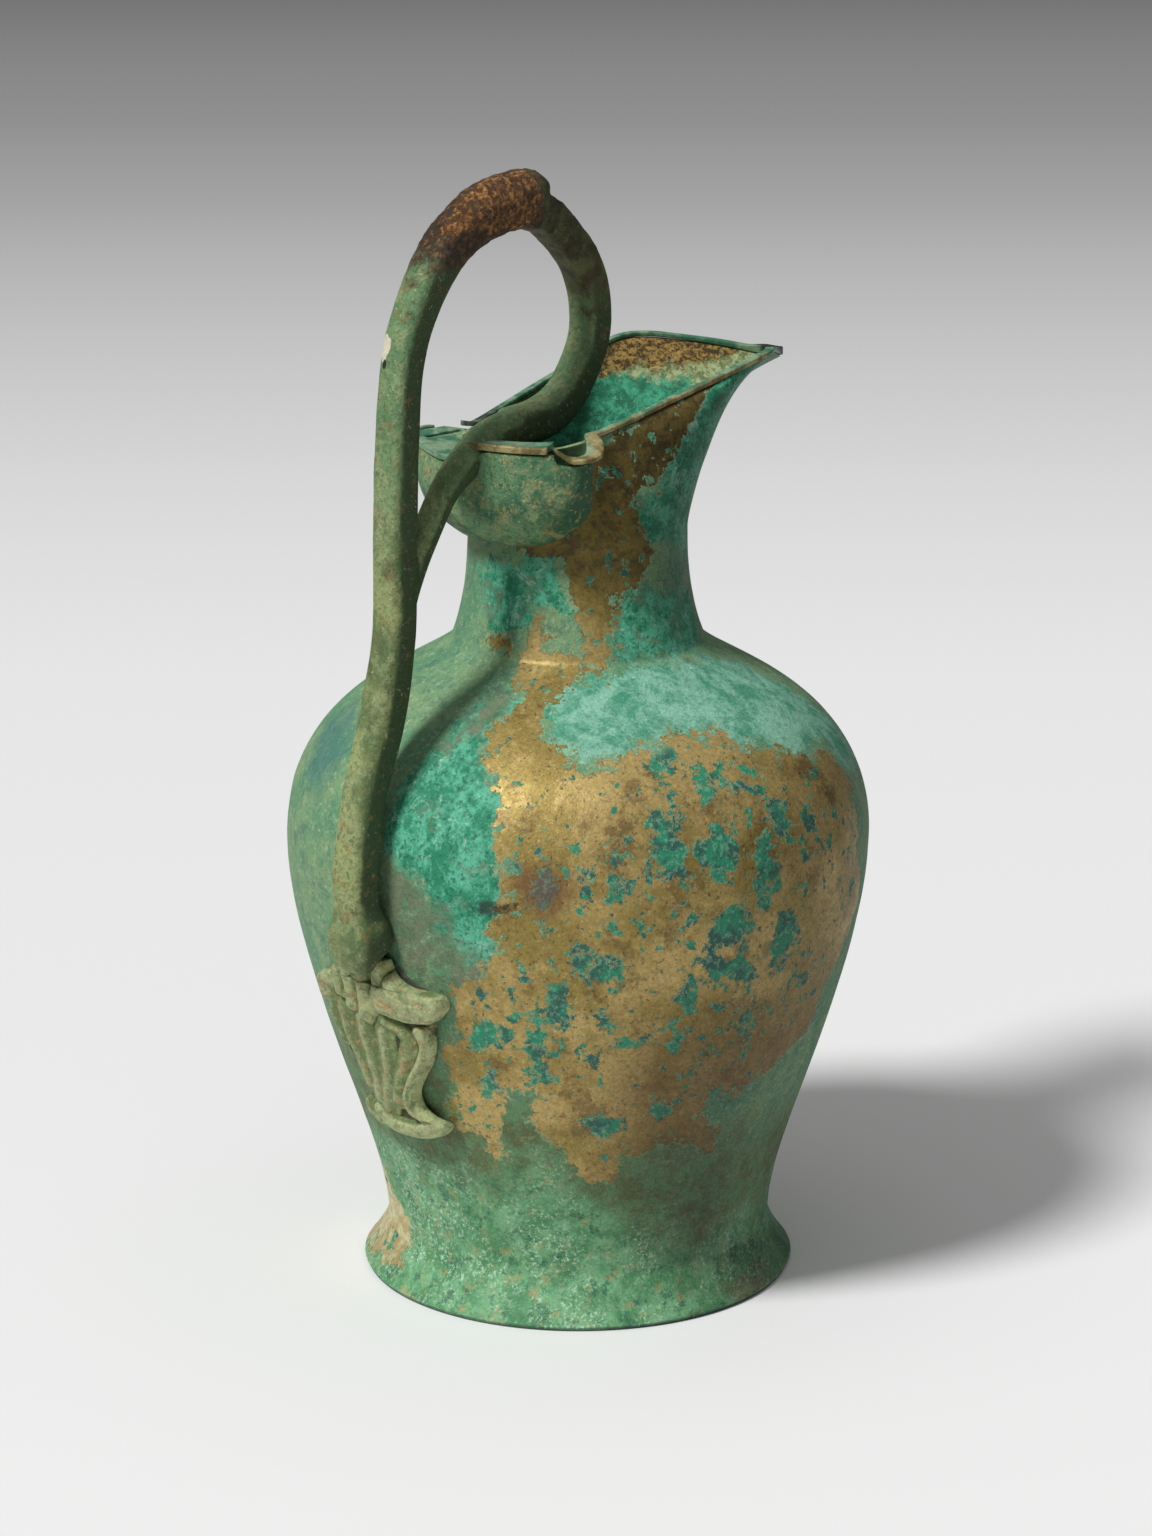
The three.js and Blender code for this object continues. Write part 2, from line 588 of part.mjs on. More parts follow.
// Soft solder between the leaf and the belly, set back from the leaf's edge.
function escutcheonSolder(handleSpace) {
  const inset = 1.5;
  const edge = leafEdge.getPoints(20).filter((p) => p.z > LEAF_BOTTOM + inset && p.z < LEAF_TOP - inset);
  const rings = edge.map(({ x: half, z }) => {
    const columns = steps(inset - half, half - inset, 8);
    const front = columns.map((across) => onBelly(across, z, FIT + SOLDER));
    const back = columns.map((across) => onBelly(across, z, FIT)).reverse();
    return [...front, ...back];
  });
  return geometryOf(solid(skin(rings)).subtract(handleSpace));
}

// The handle's bulb is flattened where it lies against the belly.
function handle() {
  return geometryOf(handleSolid(0).subtract(vesselPlug(FIT)));
}

const group = new THREE.Group();

function add(name, geometry, finish) {
  const mesh = new THREE.Mesh(geometry, new THREE.MeshStandardMaterial(finish));
  mesh.name = name;
  group.add(mesh);
}

const handleSpace = handleSolid(FIT);
add('vessel_body', vesselBody(handleSpace), BRONZE);
add('base_plate', basePlate(), BARE_BRONZE);
add('base_solder', baseSolder(), LEAD_GREY);
add('rim_band', rimBand(), BARE_BRONZE);
add('handle', handle(), CAST_BRONZE);
add('neck_saddle', neckSaddle(handleSpace), CAST_BRONZE);
add('saddle_solder', saddleSolder(), LEAD_GREY);
add('saddle_cover_near', saddleCover(-1, NEAR_COVER_SHARE, handleSpace), BARE_BRONZE);
add('saddle_cover_far', saddleCover(1, FAR_COVER_SHARE, handleSpace), BARE_BRONZE);
add('escutcheon', escutcheon(handleSpace), CAST_BRONZE);
add('escutcheon_solder', escutcheonSolder(handleSpace), LEAD_GREY);

export default group;
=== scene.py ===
"""Oinochoe: a bronze jug with a beaked mouth, a looped handle and a leaf plate, on a pale studio floor.

Lengths are millimetres unless a comment says otherwise; meshes are scaled to metres when they are made.
+Z is up, the spout points along +X and the handle stands on the -X side.
"""
import math

import bpy
import numpy as np
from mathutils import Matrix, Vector, noise


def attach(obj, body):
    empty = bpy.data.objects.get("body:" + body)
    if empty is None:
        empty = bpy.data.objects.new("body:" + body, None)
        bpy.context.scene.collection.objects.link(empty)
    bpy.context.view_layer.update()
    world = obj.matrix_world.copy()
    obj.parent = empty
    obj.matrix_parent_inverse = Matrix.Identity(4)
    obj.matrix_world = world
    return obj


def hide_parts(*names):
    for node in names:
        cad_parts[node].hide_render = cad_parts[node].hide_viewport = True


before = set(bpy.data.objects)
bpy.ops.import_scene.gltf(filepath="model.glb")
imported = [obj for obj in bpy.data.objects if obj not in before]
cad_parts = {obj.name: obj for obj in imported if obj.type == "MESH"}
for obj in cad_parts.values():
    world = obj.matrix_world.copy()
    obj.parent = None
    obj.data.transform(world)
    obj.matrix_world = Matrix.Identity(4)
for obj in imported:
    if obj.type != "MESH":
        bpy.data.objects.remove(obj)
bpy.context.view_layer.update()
MM = 0.001

# Sheet, clearance and solder
WALL, FIT, SOLDER = 1.6, 0.3, 0.7

# Vessel: radius and height of each place where its outline turns
FOOT_RADIUS, FOOT_EDGE = 54.8, 1.2
WAIST_RADIUS, WAIST_HEIGHT = 48.6, 12.0
BELLY_RADIUS, BELLY_HEIGHT = 72.7, 114.0
COLLAR_RADIUS, COLLAR_HEIGHT = 31.5, 163.0
NECK_RADIUS, NECK_HEIGHT = 26.9, 191.0

# Mouth, seen from above
SPOUT_REACH, SPOUT_HEIGHT = 78.9, 224.2
CREST_REACH, CREST_HALF_WIDTH, CREST_HEIGHT = 44.0, 23.6, 230.6
PINCH_REACH, PINCH_HALF_WIDTH, PINCH_HEIGHT = 16.0, 18.4, 217.6
BACK_REACH, BACK_HEIGHT = 36.0, 217.2
BEAK_ARCH = 1.2
BEAK_ANGLE = math.atan2(CREST_HALF_WIDTH, SPOUT_REACH - CREST_REACH)
LIP_SHARE, LEAN_POWER, LIP_POWER = 0.32, 1.35, 8

# Band along the rim and its hooks
BAND_THICKNESS, BAND_OVERHANG, BAND_ROUNDING = 1.2, 0.5, 0.35
BAND_SEAT = BAND_THICKNESS + FIT
HOOK_START, HOOK_WIDTH, HOOK_LENGTH = 20.0, 2.4, 7.5
NEAR_HOOK_START, NEAR_HOOK_WIDTH, NEAR_HOOK_RETURN = 14.0, 4.2, 15.5
BEAD_RISE, BEAD_REACH = 0.9, (71, 76)

# Base plate
PLATE_THICKNESS, PLATE_RECESS, BASE_SEAM = 2.0, 3.0, 1.2
BOSS_RADIUS = 7.0
RING_RADII = (17.0, 29.0, 41.0)
RING_WIDTH, RING_DEPTH = 3.0, 1.2

# Neck saddle and its covers
SADDLE_REACH, SADDLE_TOP, SADDLE_TILT, SADDLE_STEP = 40.0, 211.2, 4.2, 2.6
SADDLE_DEPTH, SADDLE_SHEET, SADDLE_WING_RISE = 19.8, 2.2, 9.6
SADDLE_SPREAD = math.radians(49)
SADDLE_EDGE = NECK_RADIUS + 1.6
LIP_OFFSET = 3.2
FAR_RISE, FAR_SPREAD = 3.8, 2.0
FAR_COVER_SHARE, NEAR_COVER_SHARE = 0.94, 0.64
COVER_THICKNESS, COVER_LIP = 1.6, 0.5
SLOT_LENGTH, SLOT_WIDTH, SLOT_INSET, SLOT_SIDES = 12.0, 1.2, 2.5, (19.5, 24.0)

# Handle
ROD = 4.8
BULB_RADIUS, BULB_HEIGHT, BULB_STANDOFF = 6.3, 102.0, 5.6
SHAFT_STANDOFF, SHAFT_REACH = 6.4, 64.2
LOOP_TOP, LOOP_TOP_REACH, LOOP_FRONT = 270.9, 22.4, 4.3
THUMB_REST, THUMB_REST_RISE = 6.2, 3.0
STRUT_ROD, FORK_HEIGHT = 3.5, 176.0
SHAFT_SQUARENESS = 3.6

# Leaf plate
LEAF_TOP, LEAF_BOTTOM, LEAF_SHEET = 98.0, 47.5, 2.2
LEAF_ROUNDING, LEAF_RIM, LEAF_WEAR = 1.6, 0.25, 0.3

# Mesh fineness, and the first row of the outline that the saddle's plug needs
SIDES, COARSE_SIDES, ROD_SIDES = 384, 192, 40
THROAT_ROWS = 46
PLUG_START = 80

# Heights of the sheet's unevenness, and the levels over which it sets in and dies out
SHEET_WAVE, SHEET_DENT = 0.3, 0.09
UNEVEN_FROM, UNEVEN_TO = (2, 12), (200, 212)


# Curves and rings

def lerp(a, b, share):
    """From a to b by a share."""
    return a + (b - a) * share


def smoothstep(value, low, high):
    """0 below low, 1 above high, smooth between."""
    share = np.clip((value - low) / (high - low), 0, 1)
    return share * share * (3 - 2 * share)


def bezier(points, count):
    """Evenly spaced samples of a Bezier curve, both ends included."""
    points = np.array(points, float)
    t = np.linspace(0, 1, count + 1)[:, None]
    degree = len(points) - 1
    return sum(math.comb(degree, k) * t**k * (1 - t) ** (degree - k) * p for k, p in enumerate(points))


def smooth_curve(points, count):
    """Samples of a centripetal Catmull-Rom curve through the points."""
    p = np.array(points, float)
    p = np.vstack([2 * p[0] - p[1], p, 2 * p[-1] - p[-2]])
    place = np.linspace(0, len(points) - 1, count + 1)
    i = np.minimum(place.astype(int), len(points) - 2)
    t = (place - i)[:, None]
    a, b, c, d = p[i], p[i + 1], p[i + 2], p[i + 3]
    gap = [np.maximum(np.linalg.norm(step, axis=1), 1e-6)[:, None] ** 0.5 for step in (b - a, c - b, d - c)]
    leave = ((b - a) / gap[0] - (c - a) / (gap[0] + gap[1]) + (c - b) / gap[1]) * gap[1]
    arrive = ((c - b) / gap[1] - (d - b) / (gap[1] + gap[2]) + (d - c) / gap[2]) * gap[1]
    return (b * (1 + 2 * t) * (1 - t) ** 2 + leave * t * (1 - t) ** 2
            + c * t**2 * (3 - 2 * t) + arrive * t**2 * (t - 1))


def circle_ring(radius, height, sides=SIDES):
    """A level ring round the axis."""
    angle = np.arange(sides) / sides * 2 * math.pi
    return np.column_stack([radius * np.cos(angle), radius * np.sin(angle), np.full(sides, height)])


# Vessel

def outline():
    """The vessel's outside from the foot to the top of the neck, as rows of radius and height."""
    rise = BELLY_HEIGHT - WAIST_HEIGHT
    fall = COLLAR_HEIGHT - BELLY_HEIGHT
    flare = bezier([(FOOT_RADIUS, FOOT_EDGE), ((FOOT_RADIUS + WAIST_RADIUS) / 2 - 1, WAIST_HEIGHT / 2),
                    (WAIST_RADIUS, WAIST_HEIGHT)], 14)
    flank = bezier([(WAIST_RADIUS, WAIST_HEIGHT), (WAIST_RADIUS, WAIST_HEIGHT + 0.235 * rise),
                    (BELLY_RADIUS, BELLY_HEIGHT - 0.363 * rise), (BELLY_RADIUS, BELLY_HEIGHT)], 100)
    shoulder = bezier([(BELLY_RADIUS, BELLY_HEIGHT), (BELLY_RADIUS, BELLY_HEIGHT + 0.68 * fall),
                       (COLLAR_RADIUS + 0.233 * (BELLY_RADIUS - COLLAR_RADIUS), COLLAR_HEIGHT - 8.7),
                       (COLLAR_RADIUS, COLLAR_HEIGHT)], 72)
    neck = bezier([(COLLAR_RADIUS, COLLAR_HEIGHT), (NECK_RADIUS, lerp(COLLAR_HEIGHT, NECK_HEIGHT, 0.4)),
                   (NECK_RADIUS, NECK_HEIGHT)], 30)
    return np.vstack([flare, flank[1:], shoulder[1:], neck[1:]])


OUTLINE = outline()


def inset_outline(distance):
    """The outline moved inwards by a distance."""
    along = np.gradient(OUTLINE, axis=0)
    along /= np.linalg.norm(along, axis=1)[:, None]
    return OUTLINE + distance * np.column_stack([-along[:, 1], along[:, 0]])


def radius_at(height, distance=0.0):
    """The outline's radius at a height, moved inwards by a distance."""
    line = inset_outline(distance)
    return np.interp(height, line[:, 1], line[:, 0])


def mouth_ring(inset, drop=0.0, sides=SIDES):
    """The mouth's outline from the spout's tip round the far side, the back and the near side."""
    tip = np.array([SPOUT_REACH - inset / math.sin(BEAK_ANGLE), 0, SPOUT_HEIGHT])
    crest = np.array([CREST_REACH - inset / 2, CREST_HALF_WIDTH - inset, CREST_HEIGHT])
    pinch = np.array([-PINCH_REACH, PINCH_HALF_WIDTH - inset, PINCH_HEIGHT])
    back = np.array([-BACK_REACH + inset, 0, BACK_HEIGHT])
    beak = lerp(tip, crest, 0.55) + (0, 0, BEAK_ARCH)
    side = lerp(crest, pinch, 0.5) + (0, 0.04 * CREST_HALF_WIDTH, 0)
    turn = np.array([0.35 * pinch[0] + 0.65 * back[0], 0.78 * pinch[1], BACK_HEIGHT - 0.6])
    half = smooth_curve([tip, beak, crest, side, pinch, turn, back], 600)
    length = np.concatenate([[0], np.cumsum(np.linalg.norm(np.diff(half, axis=0), axis=1))])
    share = np.arange(sides) / sides * 2
    place = np.where(share <= 1, share, 2 - share) * length[-1]
    ring = np.column_stack([np.interp(place, length, half[:, k]) for k in range(3)])
    ring[:, 1] *= np.where(share <= 1, 1, -1)
    ring[:, 2] -= drop
    return ring


def throat_ring(rise, inset, sides):
    """Between the round neck and the beaked mouth; rise goes from 0 to 1."""
    lean = (1 - LIP_SHARE) * rise**LEAN_POWER + LIP_SHARE * rise**LIP_POWER
    low = circle_ring(NECK_RADIUS - inset, NECK_HEIGHT, sides)
    high = mouth_ring(inset + BAND_OVERHANG, BAND_SEAT, sides)
    ring = lerp(low, high, lean)
    ring[:, 2] = lerp(low[:, 2], high[:, 2], rise)
    return ring


THROAT_RISES = np.linspace(0, 1, THROAT_ROWS + 1)[1:]


def vessel_side(inset, sides=SIDES):
    """Rings of one face of the sheet, from the foot up to the mouth."""
    rings = [circle_ring(r, z, sides) for r, z in inset_outline(inset)]
    return np.array(rings + [throat_ring(rise, inset, sides) for rise in THROAT_RISES])


# Meshes

def ring_faces(rows, count, joined=False):
    """Quads between rows of rings; the ends are capped with one face each, or joined in a circle."""
    i = np.arange(count)
    j = (i + 1) % count
    faces = []
    for row in range(rows if joined else rows - 1):
        low = row * count
        high = (row + 1) % rows * count
        faces += np.column_stack([low + i, low + j, high + j, high + i]).tolist()
    if not joined:
        faces += [i[::-1].tolist(), (i + (rows - 1) * count).tolist()]
    return faces


def scene_object(name, data):
    """A new object in the scene for a mesh, a light or a camera."""
    made = bpy.data.objects.new(name, data)
    bpy.context.scene.collection.objects.link(made)
    return made


def mesh_object(name, points, faces):
    """A smooth-shaded mesh from points in millimetres."""
    mesh = bpy.data.meshes.new(name)
    mesh.from_pydata((np.asarray(points) * MM).tolist(), [], faces)
    mesh.update()
    mesh.polygons.foreach_set("use_smooth", [True] * len(mesh.polygons))
    return scene_object(name, mesh)


def ring_object(name, rings):
    """A solid skinned over rings, with a face on each end."""
    rings = np.asarray(rings)
    return mesh_object(name, rings.reshape(-1, 3), ring_faces(len(rings), rings.shape[1]))


def read_points(piece, kind):
    """The places or normals of an object's points."""
    flat = np.empty(len(piece.data.vertices) * 3)
    piece.data.vertices.foreach_get(kind, flat)
    return flat.reshape(-1, 3)


def points_of(piece):
    """An object's points in millimetres."""
    return read_points(piece, "co") / MM


def from_axis(points):
    """How far points lie from the vessel's axis."""
    return np.hypot(points[:, 0], points[:, 1])


def outwards(points):
    """The level direction from the axis to each point."""
    return points * (1, 1, 0) / from_axis(points)[:, None]


def set_points(piece, points):
    """Moves an object's points to places in millimetres."""
    piece.data.vertices.foreach_set("co", (points * MM).ravel())
    piece.data.update()


def set_fact(piece, name, values):
    """Stores one number for each point, for the materials to read."""
    fact = piece.data.attributes.new(name, "FLOAT", "POINT")
    fact.data.foreach_set("value", np.asarray(values, np.float32))


def set_flank(piece):
    """Stores how far each place faces away from the light: to the spout, the near side and the ground."""
    set_fact(piece, "flank", read_points(piece, "normal") @ (0.8, -0.45, -0.4))


def settle(piece):
    """Applies an object's modifiers."""
    depsgraph = bpy.context.evaluated_depsgraph_get()
    settled = bpy.data.meshes.new_from_object(piece.evaluated_get(depsgraph))
    piece.modifiers.clear()
    piece.data = settled
    settled.polygons.foreach_set("use_smooth", [True] * len(settled.polygons))
    return piece


def combine(piece, tools, operation):
    """Joins solids to a piece, or cuts them from it. The tools are used up."""
    for tool in tools:
        step = piece.modifiers.new("combine", "BOOLEAN")
        step.operation = operation
        step.solver = "MANIFOLD"
        step.object = tool
    settle(piece)
    for tool in tools:
        bpy.data.objects.remove(tool)
    return piece


def melt(piece, grain, rounds):
    """Rebuilds a solid with an even grain in millimetres and softens its edges."""
    even = piece.modifiers.new("grain", "REMESH")
    even.mode = "VOXEL"
    even.voxel_size = grain * MM
    soften = piece.modifiers.new("soften", "SMOOTH")
    soften.factor = 0.5
    soften.iterations = rounds
    return settle(piece)


def field(points, size, seed, octaves):
    """Smooth noise from about -1 to 1 at points in millimetres, with bumps of about that size."""
    shift = Vector((seed, 2 * seed, -seed))
    return np.array([noise.fractal(Vector(p) + shift, 1.0, 2.0, octaves) for p in (points / size).tolist()])


def finish_piece(piece, node, material):
    """Gives a remade piece its material and puts it in the place of its CAD node."""
    piece.data.materials.clear()
    piece.data.materials.append(material)
    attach(piece, "root")
    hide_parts(node)
    return piece


# Layout of the patina, as outlines in turn and level, which noise makes ragged.
# Turn is degrees round the vessel: 0 at the handle, 90 on the near side, 180 at the spout.
# Level is the height, and above the neck it goes on evenly over a span up to the mouth.

THROAT_SPAN = 30.0

# Edges of the large bare patch that other patches share
METAL_LEFT = [(19, 153), (19, 148), (22, 143), (26, 138), (25, 131), (27, 125), (29, 117)]
METAL_TOP = [(104, 140), (98, 142), (93, 145), (86, 146), (81, 149), (73, 149), (67, 151), (59, 149),
             (55, 148), (46, 146), (38, 148)]

BARE_METAL = [
    [(23, 156), *METAL_LEFT, (26, 112), (25, 107), (27, 103), (21, 95), (16, 91), (17, 83), (13, 73),
     (13, 65), (11, 57), (12, 52), (18, 50), (21, 45), (24, 51), (25, 60), (28, 65), (32, 63), (32, 56),
     (38, 47), (44, 38), (50, 39), (52, 47), (62, 50), (78, 43), (78, 48), (69, 57), (82, 60), (92, 65),
     (100, 69), (107, 84), (113, 94), (117, 100), (112, 112), (112, 123), (116, 136), (111, 140),
     *METAL_TOP, (32, 151), (31, 156)],
    [(44, 216), (60, 222), (78, 222), (96, 223), (97, 216), (94, 211), (89, 209), (80, 211), (84, 206),
     (83, 202), (72, 203), (68, 200), (75, 195), (84, 190), (84, 186), (77, 181), (60, 179), (59, 176),
     (61, 170), (60, 164), (53, 161), (47, 163), (45, 169), (40, 175), (36, 180), (33, 186), (25, 189),
     (5, 190), (30, 196), (38, 204)],
    [(20, 175), (26, 172), (28, 167), (43, 164), (42, 160), (35, 158), (30, 154), (23, 156), (18, 160),
     (15, 165), (17, 170)],
    [(-7, 165), (-3, 167), (7, 168), (10, 166), (5, 165)],
    [(-64, 30), (-42, 31), (-28, 25), (-17, 14), (-18, 6), (-38, 2), (-64, 2)],
    [(138, 118), (147, 131), (158, 127), (168, 139), (178, 136), (186, 126), (194, 134), (207, 131),
     (211, 119), (222, 113), (219, 101), (228, 94), (221, 84), (207, 86), (205, 74), (213, 62), (205, 53),
     (194, 58), (186, 48), (177, 55), (172, 68), (160, 64), (156, 77), (148, 82), (151, 94), (142, 102)],
    [(243, 88), (252, 99), (262, 94), (275, 101), (282, 90), (276, 80), (284, 68), (274, 58), (262, 63),
     (252, 52), (245, 60), (250, 73)],
    [(186, 204), (197, 214), (210, 206), (226, 208), (231, 193), (222, 184), (224, 172), (210, 168),
     (203, 178), (192, 176), (193, 190)],
]

BRIGHT_GREEN = [
    [(2, 141), (6, 147), (8, 152), (10, 155), (16, 156), (19, 158), (26, 157), (31, 153), (26, 153),
     *METAL_LEFT, (26, 108), (26, 99), (21, 100), (16, 104), (13, 114), (11, 118), (5, 119), (2, 123)],
    [(31, 157), (35, 159), (51, 161), (70, 162), (74, 159), (63, 153), (58, 150), (47, 147), (39, 148),
     (32, 152)],
    [(81, 210), (94, 211), (97, 216), (97, 223), (150, 223), (140, 214), (126, 207), (120, 200), (124, 192),
     (120, 184), (102, 189), (86, 189), (75, 195), (68, 200), (69, 203), (83, 202)],
    [(60, 179), (77, 181), (92, 178), (118, 176), (123, 168), (115, 164), (99, 162), (76, 164), (61, 164),
     (61, 170)],
    [(-22, 183), (10, 187), (25, 188), (36, 180), (40, 175), (33, 175), (23, 177), (14, 168), (2, 169),
     (-16, 175)],
    [(222, 150), (240, 156), (262, 150), (270, 132), (258, 116), (240, 112), (226, 126)],
    [(286, 60), (300, 66), (310, 54), (304, 38), (290, 36), (282, 46)],
]

PALE_FROST = [
    [(36, 158), (51, 160), (69, 162), (109, 162), (125, 157), (127, 150), (132, 141), (130, 131),
     (115, 134), (115, 140), *METAL_TOP, (33, 152)],
    [(176, 158), (200, 161), (230, 158), (236, 148), (214, 142), (196, 147), (180, 146)],
]

BLUE_STAIN = [
    [(-44, 144), (-33, 147), (-22, 141), (-23, 132), (-32, 131), (-39, 137)],
    [(-58, 66), (-44, 80), (-34, 64), (-36, 44), (-50, 40)],
]

RED_STAIN = [
    [(86, 4), (95, 5), (107, 3), (107, 1), (90, 1)],
    [(29, 122), (36, 124), (42, 119), (38, 113), (31, 114)],
]

DARK_STAIN = [
    [(23, 113), (26, 115.5), (30, 115), (33, 117), (29, 113), (26, 112)],
]

VEIL = [
    [(3, 122), (8, 119), (14, 112), (20, 102), (27, 99), (26, 93), (16, 90), (7, 95), (2, 106)],
    [(8, 152), (13, 158), (22, 159), (20, 154), (13, 148), (10, 147)],
]

# Inside the mouth only
OCHRE_CRUST = [
    [(190, 224), (196, 219.5), (206, 217.5), (216, 217), (226, 216), (236, 215.5), (246, 216), (256, 224)],
]

PATCHES = {"bare": BARE_METAL, "bright": BRIGHT_GREEN, "frost": PALE_FROST, "blue": BLUE_STAIN,
           "red": RED_STAIN, "dark": DARK_STAIN, "veil": VEIL, "ochre": OCHRE_CRUST}
# How far from a patch's edge distances count, and the least radius at which turns are measured
PATCH_REACH, LEAST_RADIUS = 20, 20

# Crumbs of crust all over the metal, where noise is above a limit
CRUMB_LIMIT, CRUMB_SLOPE = 0.61, 28

# Green islands left on the bare metal: turn, level, half width and half height
ISLANDS = [
    (62, 145, 4, 4), (44, 146, 4, 2), (60, 128, 5, 8), (69, 125, 6, 6), (80, 119, 4, 7), (85, 130, 4, 4),
    (94, 127, 3, 3), (70, 138, 2, 4), (79, 138, 4, 2), (72, 107, 6, 6), (85, 101, 4, 8), (72, 96, 8, 4),
    (49, 119, 2, 6), (43, 122, 2, 2), (36, 118, 3, 6), (48, 98, 4, 4), (42, 102, 2, 3), (62, 80, 2, 3),
    (52, 79, 2, 2), (45, 74, 2, 2), (48, 56, 4, 3), (61, 59, 2, 2), (38, 90, 3, 6), (33, 78, 3, 8),
    (79, 79, 2, 6), (64, 91, 2, 6), (48, 84, 2, 2), (24, 80, 5, 4), (23, 67, 2, 4), (30, 123, 2, 2),
    (109, 108, 1, 4), (110, 76, 2, 2), (69, 72, 2, 2), (76, 60, 3, 2), (172, 112, 6, 5), (184, 92, 5, 7),
    (201, 106, 4, 3), (160, 90, 3, 5), (156, 114, 2, 5), (190, 74, 4, 3), (212, 98, 2, 4), (192, 122, 4, 2),
    (264, 80, 4, 5), (258, 70, 2, 3), (272, 92, 3, 2), (206, 194, 3, 4),
]


def away_from(outline_points, turn, level, radius):
    """Signed distance in millimetres from a patch's edge to each point of the sheet; positive inside."""
    corners = np.array(outline_points, float)
    middle = corners[:, 0].mean()
    per_degree = np.maximum(radius, LEAST_RADIUS) * math.pi / 180
    across = ((turn - middle + 180) % 360 - 180) * per_degree
    nearest = np.full(len(turn), 1e9)
    inside = np.zeros(len(turn), bool)
    for (t0, l0), (t1, l1) in zip(corners, np.roll(corners, -1, axis=0)):
        ax, bx = (t0 - middle) * per_degree, (t1 - middle) * per_degree
        dx, dl = bx - ax, l1 - l0
        share = np.clip(((across - ax) * dx + (level - l0) * dl) / (dx**2 + dl**2 + 1e-9), 0, 1)
        nearest = np.minimum(nearest, np.hypot(across - ax - share * dx, level - l0 - share * dl))
        if l0 != l1:
            crosses = (l0 > level) != (l1 > level)
            inside ^= crosses & (across < ax + dx * (level - l0) / dl)
    return np.where(inside, nearest, -nearest)


def patches(outlines, turn, level, radius):
    """The same for several patches together, limited to a useful range."""
    away = np.max([away_from(points, turn, level, radius) for points in outlines], axis=0)
    return np.clip(away, -PATCH_REACH, PATCH_REACH)


def islands(turn, level, radius):
    """About the same for the green islands."""
    away = np.full(len(turn), -float(PATCH_REACH))
    for middle, height, half_width, half_height in ISLANDS:
        across = ((turn - middle + 180) % 360 - 180) * radius * math.pi / 180
        reach = np.hypot(across / half_width, (level - height) / half_height)
        away = np.maximum(away, (1 - reach) * min(half_width, half_height))
    return away


def vessel_body(material):
    """The sheet, a little uneven, with the layout of its patina stored for each point."""
    outer = vessel_side(0)
    inner = vessel_side(WALL)[::-1]
    tread = circle_ring(FOOT_RADIUS - 0.6, 0)[None]
    rings = np.concatenate([outer, inner, tread])
    rows = len(rings)
    levels = np.concatenate([OUTLINE[:, 1], NECK_HEIGHT + THROAT_SPAN * THROAT_RISES])
    level = np.repeat(np.concatenate([levels, levels[::-1], [0]]), SIDES)
    turn = np.tile((np.arange(SIDES) / SIDES * 360 + 180) % 360, rows)
    within = np.repeat(np.arange(rows) >= len(outer), SIDES).astype(float)
    points = rings.reshape(-1, 3)
    radius = from_axis(points)
    loose = smoothstep(level, *UNEVEN_FROM) * (1 - smoothstep(level, *UNEVEN_TO))
    uneven = SHEET_WAVE * field(points, 38, 3, 2) + SHEET_DENT * field(points, 11, 8, 2)
    points = points + outwards(points) * (uneven * loose)[:, None]
    piece = mesh_object("hammered_vessel", points, ring_faces(rows, SIDES, True))
    piece.data.set_sharp_from_angle(angle=math.radians(50))
    for name, outlines in PATCHES.items():
        set_fact(piece, name, patches(outlines, turn, level, radius))
    set_fact(piece, "islands", islands(turn, level, radius))
    set_fact(piece, "within", within)
    set_fact(piece, "depth", levels[-1] - level)
    set_flank(piece)
    return finish_piece(piece, "vessel_body", material)


def base_plate(material):
    """A turned disc with raised rings and a boss under it."""
    profile = [(0.01, 0), (BOSS_RADIUS, 0), (BOSS_RADIUS + 1.5, PLATE_RECESS)]
    for radius in RING_RADII:
        inner, outer = radius - RING_WIDTH / 2, radius + RING_WIDTH / 2
        profile += [(inner, PLATE_RECESS), (inner + 0.8, PLATE_RECESS - RING_DEPTH),
                    (outer - 0.8, PLATE_RECESS - RING_DEPTH), (outer, PLATE_RECESS)]
    top = PLATE_RECESS + PLATE_THICKNESS
    edge = radius_at(top, WALL) - 2 * FIT - BASE_SEAM
    profile += [(edge, PLATE_RECESS), (edge, top), (0.01, top)]
    piece = ring_object("turned_base", [circle_ring(r, z, COARSE_SIDES) for r, z in profile])
    piece.data.set_sharp_from_angle(angle=math.radians(35))
    return finish_piece(piece, "base_plate", material)


# Rim band: a strip on the sheet's edge, with rounded edges and a hook at each end

def strip_section(outer, inner, thickness):
    """The rounded outline of the strip's cross-section between its outer and inner top corners."""
    width = np.linalg.norm(inner - outer)
    toward = (inner - outer) / width
    corners = [(0, 0), (1, 0), (1, -1), (0, -1)]
    ring = []
    for k, (a, b) in enumerate(corners):
        centre = outer + toward * (a * width + (1 - 2 * a) * BAND_ROUNDING)
        centre = centre + (0, 0, b * thickness - (1 + 2 * b) * BAND_ROUNDING)
        for step in range(4):
            angle = math.pi - k * math.pi / 2 - step * math.pi / 6
            ring.append(centre + BAND_ROUNDING * (toward * math.cos(angle) + (0, 0, math.sin(angle))))
    return ring


def strip_edges(places, start_width, width, count):
    """Edges of a flat strip along a smooth line. It starts with one width and soon reaches the other."""
    line = smooth_curve(places, count)
    along = np.gradient(line, axis=0) * (1, 1, 0)
    along /= np.linalg.norm(along, axis=1)[:, None]
    across = np.column_stack([-along[:, 1], along[:, 0], 0 * along[:, 0]])
    half = lerp(start_width, width, np.minimum(3 * np.linspace(0, 1, count + 1), 1))[:, None] / 2
    return line + across * half, line - across * half


